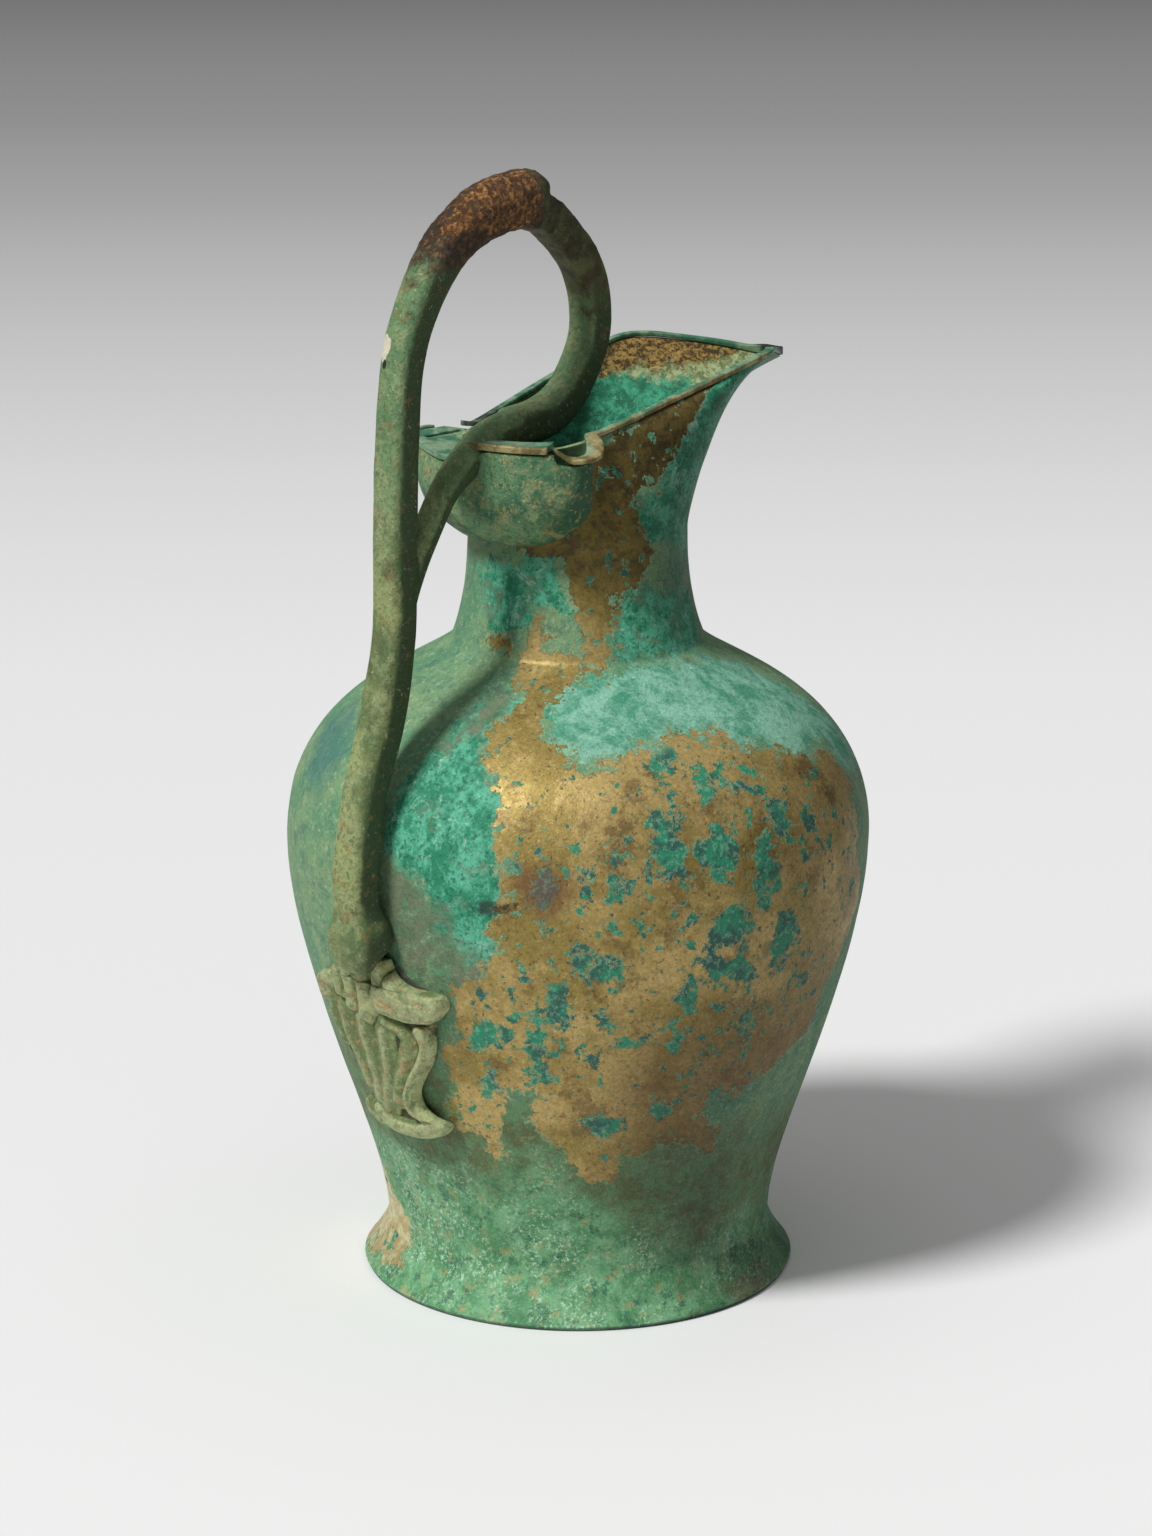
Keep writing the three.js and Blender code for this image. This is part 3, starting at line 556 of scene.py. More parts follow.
def near_hook(outer, inner):
    """The near hook curls outwards from the rim, down on the saddle's edge, and back along it."""
    start = (outer + inner) / 2
    drop = start[2] - (saddle_top(1) + 2 * FIT + BAND_THICKNESS)
    curl = [(0, 0, 0), (0.25, 0.2, 0), (0.38, 0.61, 0.3), (0.61, 0.97, 0.85), (0.86, 1, 1), (1, 0.72, 1),
            (1.2, 0.42, 0.28)]
    line = [start - (back * NEAR_HOOK_RETURN, out * HOOK_LENGTH, down * drop) for back, out, down in curl]
    outers, inners = strip_edges(line, np.linalg.norm(outer - inner), NEAR_HOOK_WIDTH, 60)
    return list(zip(outers[1:], inners[1:]))


def rim_band(material):
    """The strip from the near hook round the spout to the far hook, with a bead on the spout's tip."""
    outer = mouth_ring(0)
    inner = mouth_ring(BAND_OVERHANG + WALL)
    pairs = list(zip(outer, inner))
    far = pairs[:int(np.argmax(outer[:, 0] < -HOOK_START))]
    corner, inside = far[-1]
    back = (corner - far[-2][0]) * (1, 1, 0)
    back *= HOOK_WIDTH / np.linalg.norm(back)
    reach = np.array([-0.15 * HOOK_LENGTH, HOOK_LENGTH, 0])
    for share in np.linspace(0, 0.35, 6):
        far.append((corner + share * reach, lerp(inside, corner, 0.8 * share) + back + share * reach))
    near = pairs[1:int(np.argmax(outer[:, 0] < -NEAR_HOOK_START))]
    near = [(o * (1, -1, 1), i * (1, -1, 1)) for o, i in near]
    near += near_hook(*near[-1])
    rings = []
    for o, i in near[::-1] + far:
        bead = BEAD_RISE * smoothstep(o[0], *BEAD_REACH)
        rings.append(strip_section(o + (0, 0, bead), i + (0, 0, bead), BAND_THICKNESS + bead))
    piece = ring_object("rim_strip", rings)
    x, y, z = points_of(piece).T
    hook = smoothstep(-x, 12, 16) * (y < 0)
    outward = np.tile(np.repeat([0.1, -0.9, -0.9, 1.0], 4), len(rings))
    gilt = np.where(y < 0, (outward + 1) * smoothstep(-x, -54, -36) - 1, -1.2)
    set_fact(piece, "worn", gilt + 0.7 * hook)
    # Dark brown on the spout's tip, and painted shade on the far side of the strip behind the handle.
    set_fact(piece, "dark", smoothstep(x, 70, 75) + 0.5 * smoothstep(-x, -4, 12) * (y > 0))
    return finish_piece(piece, "rim_band", material)


# Handle

def rod(name, stations, grow, lengths, squareness=2.0):
    """A bar along its stations in the plane Y = 0. Its section may be rather square."""
    line = smooth_curve([(x, half, z) for x, z, half in stations], lengths)
    along = np.gradient(line, axis=0) * (1, 0, 1)
    along /= np.linalg.norm(along, axis=1)[:, None]
    angle = np.arange(ROD_SIDES) / ROD_SIDES * 2 * math.pi
    power = 2 / squareness
    slimmer = 2 ** (0.4 / squareness - 0.2)
    flat, side = (np.sign(part) * np.abs(part) ** power for part in (np.cos(angle), np.sin(angle)))
    half = (slimmer * line[:, 1] + grow)[:, None]
    rings = [line[:, 0:1] - along[:, 2:3] * half * flat, half * side,
             line[:, 2:3] + along[:, 0:1] * half * flat]
    return ring_object(name, np.stack(rings, axis=2))


RETURN_HEIGHT = BACK_HEIGHT + 1.6
STRAIGHT_END = COLLAR_HEIGHT + 34


def on_shaft(share):
    """A height by its share of the straight shaft."""
    return lerp(STRAIGHT_END, LOOP_TOP, share)


def on_loop(share):
    """A height by its share of the loop."""
    return lerp(RETURN_HEIGHT, LOOP_TOP, share)


# Stations beside the belly: height, standoff from the sheet and half thickness
BESIDE_BELLY = [
    (BULB_HEIGHT - 4.8, 4.6, 0.6 * BULB_RADIUS),
    (BULB_HEIGHT - 4, 5.2, 0.98 * BULB_RADIUS),
    (BULB_HEIGHT - 1, BULB_STANDOFF, 1.13 * BULB_RADIUS),
    (BULB_HEIGHT + 3, BULB_STANDOFF, 1.09 * BULB_RADIUS),
    (BULB_HEIGHT + 5.6, BULB_STANDOFF + 0.2, 0.92 * BULB_RADIUS),
    (BULB_HEIGHT + 8, BULB_STANDOFF + 0.4, ROD + 0.4),
    (BELLY_HEIGHT + 5, SHAFT_STANDOFF, ROD + 0.3),
]

# Stations of the bars: x, z and half thickness
SHAFT = [(-radius_at(z) - standoff, z, half) for z, standoff, half in BESIDE_BELLY] + [
    (-SHAFT_REACH - 11.8, BELLY_HEIGHT + 21.5, ROD),
    (-SHAFT_REACH - 5.3, BELLY_HEIGHT + 40.3, ROD + 0.3),
    (-SHAFT_REACH - 0.9, COLLAR_HEIGHT + 10, ROD),
    (-SHAFT_REACH, STRAIGHT_END, ROD),
    (-SHAFT_REACH + 0.8, on_shaft(0.26), ROD),
    (-SHAFT_REACH + 4, on_shaft(0.606), ROD - 0.1),
    (-SHAFT_REACH + 11.9, on_shaft(0.813), ROD + 0.3),
    (-LOOP_TOP_REACH - 21.5, on_shaft(0.93), ROD + 0.8),
    (-LOOP_TOP_REACH - 12, on_shaft(0.986), ROD + 0.8),
    (-LOOP_TOP_REACH, LOOP_TOP, ROD + 0.4),
    (-LOOP_TOP_REACH + 8.8, on_loop(0.958), ROD + 0.3),
    (LOOP_FRONT - 10.1, on_loop(0.845), ROD),
    (LOOP_FRONT - 3.4, on_loop(0.697), ROD),
    (LOOP_FRONT, on_loop(0.505), ROD),
    (LOOP_FRONT - 0.7, on_loop(0.332), ROD - 0.1),
    (LOOP_FRONT - 8.7, on_loop(0.1), ROD),
    (LOOP_FRONT - 17.3, on_loop(0.013), ROD + 0.3),
    (-BACK_REACH + 11.6, RETURN_HEIGHT - 0.5, ROD + 0.2),
]
STRUT = [
    (-BACK_REACH + 14, RETURN_HEIGHT - 0.3, ROD),
    (-BACK_REACH + 3.8, RETURN_HEIGHT - 2.6, ROD + 0.2),
    (-SADDLE_REACH - 2, SADDLE_TOP - 0.4, ROD - 0.6),
    (-SADDLE_REACH - 7.2, SADDLE_TOP - 4.7, STRUT_ROD + 0.2),
    (-SADDLE_REACH - 14, SADDLE_TOP - 14.4, STRUT_ROD),
    (-SHAFT_REACH + 4.4, FORK_HEIGHT + 11, STRUT_ROD),
    (-SHAFT_REACH, FORK_HEIGHT, STRUT_ROD),
]
THUMB = [
    (-LOOP_TOP_REACH - 24, LOOP_TOP - 5.5, THUMB_REST - 1.6),
    (-LOOP_TOP_REACH - 13, LOOP_TOP + 0.6, THUMB_REST - 0.4),
    (-LOOP_TOP_REACH, LOOP_TOP + THUMB_REST_RISE, THUMB_REST - 0.2),
    (-LOOP_TOP_REACH + 4.6, LOOP_TOP + THUMB_REST_RISE + 0.9, THUMB_REST - 0.6),
    (-LOOP_TOP_REACH + 7.4, LOOP_TOP + THUMB_REST_RISE + 3.4, THUMB_REST - 2.4),
]

# Heights over which rust and ochre grit set in on the loop, and over which its front turns a dark olive-brown
RUST_HEIGHTS, OCHRE_HEIGHTS, FRONT_OLIVE_HEIGHTS = (250, 272), (260, 274), (236, 258)
# A pale chip on the far side of the shaft, and a small hole in it whose shade is painted near-black: middle
# and half size
CHIP = (-64.5, 2.6, 242), (2.2, 2.2, 5.5)
HOLE = (-65.1, 1.6, 238.6), (1.3, 1.3, 2.2)


def handle_solid(grow, squareness=2.0):
    """Shaft, strut and thumb rest as one solid, grown by a clearance."""
    shaft = rod("handle_rods", SHAFT, grow, 260, squareness)
    strut = rod("strut", STRUT, grow, 60)
    thumb = rod("thumb_rest", THUMB, grow, 40)
    return combine(shaft, [strut, thumb], "UNION")


def keep_off_vessel(points, clearance):
    """Moves points that would enter the vessel out to a clearance from it. Only for places below the neck."""
    wanted = radius_at(points[:, 2], -clearance)
    push = np.where(points[:, 2] < NECK_HEIGHT, np.maximum(wanted / from_axis(points), 1), 1)
    return points * np.column_stack([push, push, np.ones(len(push))])


def handle(material):
    """The casting, with a rough rusty crust over the top of the loop."""
    piece = melt(handle_solid(0, SHAFT_SQUARENESS), 0.5, 4)
    points = keep_off_vessel(points_of(piece), FIT + 0.1)
    set_points(piece, points)
    x, y, z = points.T
    crust = smoothstep(z, *RUST_HEIGHTS)
    ochre = smoothstep(z, *OCHRE_HEIGHTS) * (1 - smoothstep(x, -22, -12))
    ochre = ochre * (0.3 + 0.7 * smoothstep(-y, -2, 4)) - 0.15
    lift = 0.1 * field(points, 9, 5, 2) + crust * 0.25 * field(points, 2.2, 1, 3) + 0.3 * ochre
    set_points(piece, points + read_points(piece, "normal") * lift[:, None])
    set_fact(piece, "crust", crust)
    set_fact(piece, "ochre", ochre)
    # Dark olive-brown over the front of the loop.
    set_fact(piece, "front_olive", smoothstep(x, -26, -12) * smoothstep(z, *FRONT_OLIVE_HEIGHTS))
    set_flank(piece)
    chip, hole = (np.linalg.norm((points - place) / size, axis=1) for place, size in (CHIP, HOLE))
    set_fact(piece, "chip", 1 - chip + 0.5 * field(points, 2.5, 9, 2))
    # Painted shade: the hole is not cut, its shade is painted near-black.
    set_fact(piece, "hole", 1 - hole)
    return finish_piece(piece, "handle", material)


# Neck saddle and covers

def wedge(name, spread, bottom_at, top_at, radius_of, rows, columns=128):
    """A solid round the back of the neck, whose outer radius depends on how far round and up it is."""
    core = 0.5 * NECK_RADIUS
    rings = []
    for across in np.linspace(-1, 1, columns + 1):
        angle = math.pi + across * spread
        bottom, top = bottom_at(across), top_at(across)
        heights = np.linspace(bottom, top, rows + 1)
        radii = np.concatenate([[core], [radius_of(across, z, bottom) for z in heights], [core]])
        heights = np.concatenate([[bottom], heights, [top]])
        rings.append(np.column_stack([radii * math.cos(angle), radii * math.sin(angle), heights]))
    piece = ring_object(name, rings)
    piece.data.flip_normals()
    return piece


def vessel_plug(clearance):
    """The space that the vessel takes, filled and grown by a clearance."""
    rings = list(vessel_side(-clearance, COARSE_SIDES)[PLUG_START:])
    rings.append(rings[-1] + (0, 0, BAND_SEAT + 4))
    return ring_object("plug", rings)


def saddle_top(across):
    """The upper edge: low on the far side and higher on the near side, with a step down under the hook."""
    rise = smoothstep(across, -0.1, 0.2)
    drop = smoothstep(across, NEAR_COVER_SHARE + 0.03, NEAR_COVER_SHARE + 0.09)
    return SADDLE_TOP + SADDLE_TILT * rise - SADDLE_STEP * drop


def saddle_bottom(across):
    """The lower edge, which rises towards the wings."""
    return SADDLE_TOP - SADDLE_DEPTH + SADDLE_WING_RISE * abs(across) ** 4


def saddle_radius(across, height, bottom, sheet):
    """The bowl's radius at a place round it and a height, less a sheet's thickness."""
    swell = 1 - max(1 - (height - bottom) / (0.66 * SADDLE_DEPTH), 0) ** 2.3
    ends = max(1 - abs(across) ** 6, 0) ** 0.5
    return SADDLE_EDGE + LIP_OFFSET * ends + (SADDLE_REACH - SADDLE_EDGE - LIP_OFFSET) * swell * ends - sheet


def neck_saddle(material):
    """A bowl round the back of the neck, hollow, with room for the vessel and the handle."""
    seat = FIT + SOLDER + FIT
    outside = wedge("saddle_bowl", SADDLE_SPREAD, saddle_bottom, saddle_top,
                    lambda across, z, bottom: saddle_radius(across, z, bottom, 0), 32, 200)
    inside = wedge("saddle_hollow", 0.94 * SADDLE_SPREAD,
                   lambda across: saddle_bottom(across) + SADDLE_SHEET, lambda across: saddle_top(across) + 2,
                   lambda across, z, floor: saddle_radius(across, z, floor - SADDLE_SHEET, SADDLE_SHEET), 32)
    combine(outside, [inside, vessel_plug(seat), handle_solid(FIT)], "DIFFERENCE")
    piece = melt(outside, 0.3, 3)
    lift_far_wing(piece)
    set_flank(piece)
    return finish_piece(piece, "neck_saddle", material)


def lift_far_wing(piece):
    """The far wing rises and reaches out a little."""
    points = points_of(piece)
    far = smoothstep(points[:, 1], 6, 34)
    upper = smoothstep(points[:, 2], SADDLE_TOP - 14, SADDLE_TOP)
    outer = smoothstep(from_axis(points), SADDLE_EDGE, SADDLE_REACH)
    points *= 1 + (far * outer * FAR_SPREAD / SADDLE_REACH)[:, None] * (1, 1, 0)
    points[:, 2] += far * upper * FAR_RISE
    set_points(piece, points)


def box_object(name, low, high):
    """A plain cutting block between two corners."""
    ring = [(low[0], low[1]), (high[0], low[1]), (high[0], high[1]), (low[0], high[1])]
    return ring_object(name, [[(x, y, z) for x, y in ring] for z in (low[2], high[2])])


def saddle_cover(side, material):
    """The slotted plate on the saddle's near or far side of the handle."""
    sign, share = (1, FAR_COVER_SHARE) if side == "far" else (-1, NEAR_COVER_SHARE)
    bottom = float(saddle_top(-1 if side == "far" else 0.5)) + FIT

    def edge_radius(across, *place):
        """The bowl's edge and a lip more."""
        return max(saddle_radius(share * across, SADDLE_TOP, saddle_bottom(0), 0), SADDLE_EDGE) + COVER_LIP

    whole = wedge("cover_plate_" + side, share * SADDLE_SPREAD, lambda across: bottom,
                  lambda across: bottom + COVER_THICKNESS, edge_radius, 6)
    reach = 2 * SADDLE_REACH
    tools = [vessel_plug(FIT), handle_solid(FIT),
             box_object("other_half", (-reach, min(-sign * reach, 0), 0),
                        (reach, max(-sign * reach, 0), LOOP_TOP))]
    for sideways in SLOT_SIDES:
        start = SLOT_INSET - math.sqrt(SADDLE_REACH**2 - sideways**2)
        middle = sign * sideways
        tools.append(box_object("slot", (start, middle - SLOT_WIDTH / 2, bottom - 4),
                                (start + SLOT_LENGTH, middle + SLOT_WIDTH / 2, bottom + 4)))
    combine(whole, tools, "DIFFERENCE")
    piece = melt(whole, 0.25, 2)
    lift_far_wing(piece)
    edge = smoothstep(from_axis(points_of(piece)), SADDLE_REACH - 2, SADDLE_REACH)
    set_fact(piece, "worn", 1.6 * edge - 0.9 if side == "near" else 0 * edge - 0.6)
    return finish_piece(piece, "saddle_cover_" + side, material)


# Leaf plate: a relief of ridges over the belly. Places are millimetres round the belly from the handle's
# plane, positive towards the near side, and height.

LEAF_NEAR_EDGE = [(2, 46.6), (9, 49.4), (12.4, 53), (8, 54.6), (5.4, 57), (5.4, 61), (8.2, 65.6), (12, 71),
                  (14, 76), (14.6, 80), (16.6, 83), (20, 87.4), (19, 90), (11, 90.6), (7, 92.6), (5, 97)]
LEAF_FAR_EDGE = [(-2, 46.6), (-12, 48.6), (-16, 51), (-14, 55), (-11.5, 58), (-13.5, 62), (-18, 66.5),
                 (-20.5, 72), (-21.5, 78), (-23.5, 81), (-23, 85), (-19.6, 88.6), (-13, 93), (-9, 97)]

# Ridges: their course, half width, height, and how blunt they are
LEAF_RIDGES = [
    ([(6.5, 91.4), (10, 89.4), (14, 88), (18.4, 87.9)], 2.6, 3.5, 3),
    ([(4.5, 88.4), (10, 86.6), (14, 86.2), (17.8, 86.8)], 3.4, 3.7, 3),
    ([(3, 85), (8, 84.4), (13.4, 84.8)], 3.0, 3.4, 3),
    ([(11.8, 79.6), (12.6, 75.8), (10.4, 70.7), (6.6, 65), (3.6, 59.6), (3.8, 56), (6.4, 54.6)],
     2.0, 2.9, 2.6),
    ([(-7.8, 53), (-5.2, 50.6), (-0.3, 49.8), (5.6, 50.8), (11.2, 53.4)], 2.6, 2.7, 2.6),
    ([(1.5, 80), (5.8, 78.4), (7.2, 75.6), (4.6, 69.4), (1, 62.8), (-1.1, 57.6)], 2.8, 2.1, 1.1),
    ([(0.1, 77), (-1, 67.9), (-2.9, 61), (-5, 54.6)], 3.4, 2.2, 1.1),
    ([(-6.6, 79), (-6.5, 71.3), (-6.3, 64), (-7.1, 56.5)], 3.6, 2.2, 1.1),
    ([(-13.4, 79.5), (-12.8, 73.3), (-11, 66.7), (-9.6, 60)], 3.6, 2.1, 1.1),
    ([(-17.4, 81), (-18, 76.8), (-16.2, 71)], 2.6, 2.0, 1.1),
    ([(-14.5, 88), (-18, 86.6), (-18.8, 83)], 2.8, 2.9, 2.6),
    ([(-8.5, 93), (-7.9, 88), (-8.2, 82.6)], 2.6, 2.9, 1.5),
    ([(-2.6, 94), (-2.8, 88.6), (-4, 81)], 2.8, 3.1, 1.5),
    ([(2.6, 94.5), (2, 89.8), (-1.4, 83)], 2.4, 2.9, 1.5),
    ([(-12, 91), (-12.6, 85)], 2.4, 2.4, 1.5),
    ([(-10, 95), (-3, 96), (4, 96)], 2.2, 2.8, 2.6),
    ([(-12.6, 54), (-12.3, 51.2), (-9.6, 49.8)], 2.0, 2.0, 2.6),
]


def on_belly(near, height, out):
    """Places of the leaf as points in space, out from the belly's surface."""
    radius = radius_at(height)
    angle = math.pi + near / radius
    return np.column_stack([(radius + out) * np.cos(angle), (radius + out) * np.sin(angle), height])


def leaf_relief(near, height):
    """How high the ridges stand above the leaf's sheet."""
    relief = np.zeros(len(near))
    for course, half, rise, blunt in LEAF_RIDGES:
        line = smooth_curve(course, 10 * (len(course) - 1))
        away = np.min(np.hypot(near[:, None] - line[:, 0], height[:, None] - line[:, 1]), axis=1)
        swell = rise * np.clip(1 - (away / half) ** blunt, 0, 1) ** 0.6
        relief = np.maximum(relief, swell) + 0.06 * np.minimum(relief, swell)
    return relief


def escutcheon(material):
    """The leaf: a sheet between its two edges, with its ridges and rounded rims."""
    rows, columns = 190, 130
    near_edge = smooth_curve(LEAF_NEAR_EDGE, 200)
    far_edge = smooth_curve(LEAF_FAR_EDGE, 200)
    near_order, far_order = np.argsort(near_edge[:, 1]), np.argsort(far_edge[:, 1])
    seat = FIT + SOLDER + FIT
    front, back, facts = [], [], []
    share = np.linspace(0, 1, columns)
    for z in np.linspace(LEAF_BOTTOM - 0.8, LEAF_TOP - 1, rows):
        low = np.interp(z, far_edge[far_order, 1], far_edge[far_order, 0])
        high = np.interp(z, near_edge[near_order, 1], near_edge[near_order, 0])
        near = lerp(low, high, share)
        height = np.full(columns, z)
        relief = leaf_relief(near, height)
        margin = np.minimum(near - low, high - near)
        end = min(z - LEAF_BOTTOM + 0.8, LEAF_TOP - z + 1)
        across, along = np.minimum(margin / LEAF_ROUNDING, 1), min(max(end / LEAF_ROUNDING, 0.05), 1)
        thick = LEAF_RIM + (LEAF_SHEET - 0.9 + relief) * np.sqrt(np.clip(across * along, 0, 1))
        front.append(on_belly(near, height, seat + thick))
        back.append(on_belly(near, height, np.full(columns, seat))[::-1])
        facts.append(np.concatenate([relief, 0 * relief]))
    rings = [np.vstack(pair) for pair in zip(front, back)]
    piece = ring_object("leaf_relief", rings)
    piece.data.flip_normals()
    set_fact(piece, "relief", np.concatenate(facts))
    set_flank(piece)
    points = points_of(piece)
    worn = LEAF_WEAR * field(points, 3.2, 4, 3) * (np.concatenate(facts) > 0.2)
    set_points(piece, points + outwards(points) * worn[:, None])
    return finish_piece(piece, "escutcheon", material)


# Materials

def tone(red, green, blue):
    """A display colour from 0 to 255 as the linear colour that sockets take."""
    share = np.array([red, green, blue]) / 255
    linear = np.where(share <= 0.04045, share / 12.92, ((share + 0.055) / 1.055) ** 2.4)
    return (*linear.tolist(), 1.0)


class Paint:
    """One procedural material, built a node at a time.

    A value is a number or another node's output. A colour is a display colour or another node's output.
    """

    def __init__(self, name):
        self.material = bpy.data.materials.new(name)
        self.material.use_nodes = True
        self.tree = self.material.node_tree
        self.place = self.node("TexCoord", "Object", {})
        self.coarse = self.bumps(16, 1, 5, 0.6)
        self.middle = self.bumps(5, 2, 6, 0.65)
        self.fine = self.bumps(1.3, 3, 5, 0.7)

    def join(self, socket, value):
        """Puts a value or a colour into a socket."""
        if isinstance(value, bpy.types.NodeSocket):
            self.tree.links.new(value, socket)
        else:
            socket.default_value = tone(*value) if isinstance(value, tuple) else value

    def node(self, kind, output, inputs, **settings):
        """Adds a node with its inputs and settings, and gives one of its outputs."""
        node = self.tree.nodes.new("ShaderNode" + kind)
        for name, value in settings.items():
            setattr(node, name, value)
        for key, value in inputs.items():
            self.join(node.inputs[key], value)
        return node.outputs[output]

    def fact(self, name):
        """A number that the mesh stores for each point."""
        return self.node("Attribute", "Fac", {}, attribute_name=name)

    def bumps(self, size, shift, detail=8, rough=0.8, warp=0.0):
        """Noise from 0 to 1 with bumps of a size in millimetres; each shift gives another pattern."""
        moved = self.node("VectorMath", 0, {0: self.place, 1: Vector((0.31, 0.17, -0.23)) * shift})
        return self.node("TexNoise", "Fac", {"Vector": moved, "Scale": 1 / (size * MM), "Detail": detail,
                                             "Roughness": rough, "Distortion": warp})

    def along(self, *direction):
        """Metres from the origin along a direction."""
        inputs = {0: self.place, 1: Vector(direction)}
        return self.node("VectorMath", "Value", inputs, operation="DOT_PRODUCT")

    def height(self):
        """Millimetres above the ground."""
        return self.both(self.along(0, 0, 1), 1 / MM)

    def calculate(self, operation, a, b=0.0, c=0.0):
        """One step of arithmetic."""
        return self.node("Math", 0, {0: a, 1: b, 2: c}, operation=operation)

    def both(self, a, b):
        """The product of two values."""
        return self.calculate("MULTIPLY", a, b)

    def scaled(self, value, factor, more):
        """A value times a factor, plus more."""
        return self.calculate("MULTIPLY_ADD", value, factor, more)

    def ragged(self, value, *sways):
        """A value moved by noises, each by half its span to each side."""
        for noise_value, span in sways:
            value = self.calculate("ADD", value, self.scaled(noise_value, span, -span / 2))
        return value

    def above(self, value, low, high):
        """0 below low, 1 above high, smooth between."""
        limits = {"Value": value, "From Min": low, "From Max": high}
        return self.node("MapRange", "Result", limits, interpolation_type="SMOOTHSTEP")

    def blend(self, share, a, b):
        """Between two values."""
        return self.node("Mix", 0, {0: share, 2: a, 3: b})

    def mix(self, share, a, b):
        """Between two colours."""
        return self.node("Mix", 2, {0: share, 6: a, 7: b}, data_type="RGBA")

    def lay(self, colour, other, value, low, high, strength=1.0):
        """Lays another colour over the first where a value rises from low to high."""
        share = self.above(value, low, high)
        return self.mix(share if strength == 1.0 else self.both(share, strength), colour, other)

    def shade(self, colour, factor):
        """A colour made darker or lighter by a factor."""
        return self.node("VectorMath", 0, {0: colour, "Scale": factor}, operation="SCALE")

    def finish(self, colour, roughness, metallic, relief):
        """Relief is a height in millimetres."""
        normal = self.node("Bump", "Normal", {"Height": relief, "Distance": MM})
        looks = {"Base Color": colour, "Roughness": roughness, "Metallic": metallic, "Normal": normal}
        for name, value in looks.items():
            self.join(self.tree.nodes["Principled BSDF"].inputs[name], value)
        return self.material


def bare_metal_way(paint):
    """Millimetres from the crust's ragged edge, positive on bare metal and negative on the crust."""
    bumps = paint.bumps
    patch = paint.ragged(paint.fact("bare"), (bumps(9, 5, 6, 0.7), 15), (bumps(2.2, 6, 5, 0.65), 9))
    island = paint.ragged(paint.both(paint.fact("islands"), -1), (bumps(5, 14, 6, 0.7), 21),
                          (bumps(1.2, 15, 4, 0.6), 5))
    crumbs = paint.ragged(bumps(3.2, 16, 4, 0.6), (paint.coarse, 0.4))
    crumbs = paint.scaled(crumbs, -CRUMB_SLOPE, CRUMB_SLOPE * CRUMB_LIMIT)
    return paint.calculate("MINIMUM", patch, paint.calculate("MINIMUM", island, crumbs))


def brass(paint, height):
    """Bare bronze: dull ochre with pits, brown stains and pale flecks; darker and browner on the neck;
    painted shade low down on the side away from the light.
    """
    lay, bumps = paint.lay, paint.bumps
    colour = lay((182, 158, 98), (148, 128, 66), bumps(24, 10, 6, 0.66), 0.42, 0.58)
    colour = lay(colour, (104, 80, 44), bumps(12, 11, 8, 0.74), 0.52, 0.64, 0.65)
    colour = lay(colour, (202, 184, 132), bumps(1.6, 30, 7, 0.75), 0.56, 0.62, 0.4)
    colour = lay(colour, (62, 54, 34), bumps(1.2, 12, 6, 0.75), 0.57, 0.64, 0.75)
    brown = lay((132, 114, 58), (92, 80, 44), bumps(4, 31, 8, 0.78), 0.44, 0.6)
    brown = lay(brown, paint.shade(brown, 0.7), height, 198, 212)
    colour = lay(colour, brown, height, 168, 188)
    sandy = lay((186, 166, 112), (204, 198, 154), paint.middle, 0.42, 0.58)
    colour = lay(colour, sandy, height, 36, 26)
    # Painted shade: the lower metal turns a darker olive-brown on the side away from the light.
    shadow_side = paint.above(paint.fact("flank"), -0.25, 0.15)
    colour = lay(colour, (112, 88, 46), height, 104, 66, paint.both(shadow_side, 0.6))
    return paint.shade(colour, paint.scaled(paint.fine, 0.9, 0.55))


def green_crust(paint, height, speck):
    """The dull crust: grey green on the shoulder, olive under the metal, and powdery green near the foot."""
    lay, bumps = paint.lay, paint.bumps
    colour = lay((120, 154, 110), (92, 142, 104), paint.coarse, 0.4, 0.6)
    colour = lay(colour, (70, 116, 96), bumps(5, 7), 0.5, 0.6, 0.7)
    colour = lay(colour, (158, 178, 138), bumps(2, 35), 0.54, 0.6, 0.7)
    unsure = paint.scaled(paint.above(paint.fact("flank"), -0.3, 0.1), 18, height)
    unsure = paint.ragged(unsure, (paint.coarse, 36))
    olive = lay((86, 96, 56), (90, 132, 88), bumps(5, 18), 0.42, 0.58)
    olive = lay(olive, (140, 128, 82), bumps(2.4, 40), 0.54, 0.62, 0.7)
    colour = lay(colour, olive, unsure, 74, 56)
    fresh = lay((70, 130, 84), (112, 166, 120), bumps(8, 17), 0.42, 0.58)
    fresh = lay(fresh, (26, 90, 66), bumps(5, 26), 0.53, 0.6, 0.75)
    streaks = paint.above(bumps(14, 28, 5, 0.7), 0.42, 0.56)
    fresh = lay(fresh, (184, 214, 184), bumps(1, 27), 0.52, 0.58, paint.both(streaks, 0.85))
    fresh = lay(fresh, (158, 142, 90), bumps(3.4, 29), 0.55, 0.61, 0.7)
    colour = lay(colour, fresh, unsure, 48, 32)
    return paint.mix(paint.both(speck, 0.6), colour, (192, 206, 170))


def emerald_crust(paint, speck):
    """Bright green crust with darker mottling, grey veils and white powder in streaks."""
    lay, bumps = paint.lay, paint.bumps
    colour = lay((20, 128, 92), (88, 178, 144), bumps(6, 32, 8, 0.76), 0.42, 0.58)
    colour = lay(colour, (12, 92, 68), paint.fine, 0.52, 0.62, 0.8)
    colour = lay(colour, (98, 126, 96), bumps(11, 33, 7, 0.72), 0.56, 0.63, 0.75)
    colour = lay(colour, (166, 214, 188), bumps(7, 19, 8, 0.8, 0.6), 0.54, 0.66, 0.75)
    return paint.mix(paint.both(speck, 0.7), colour, (190, 220, 200))


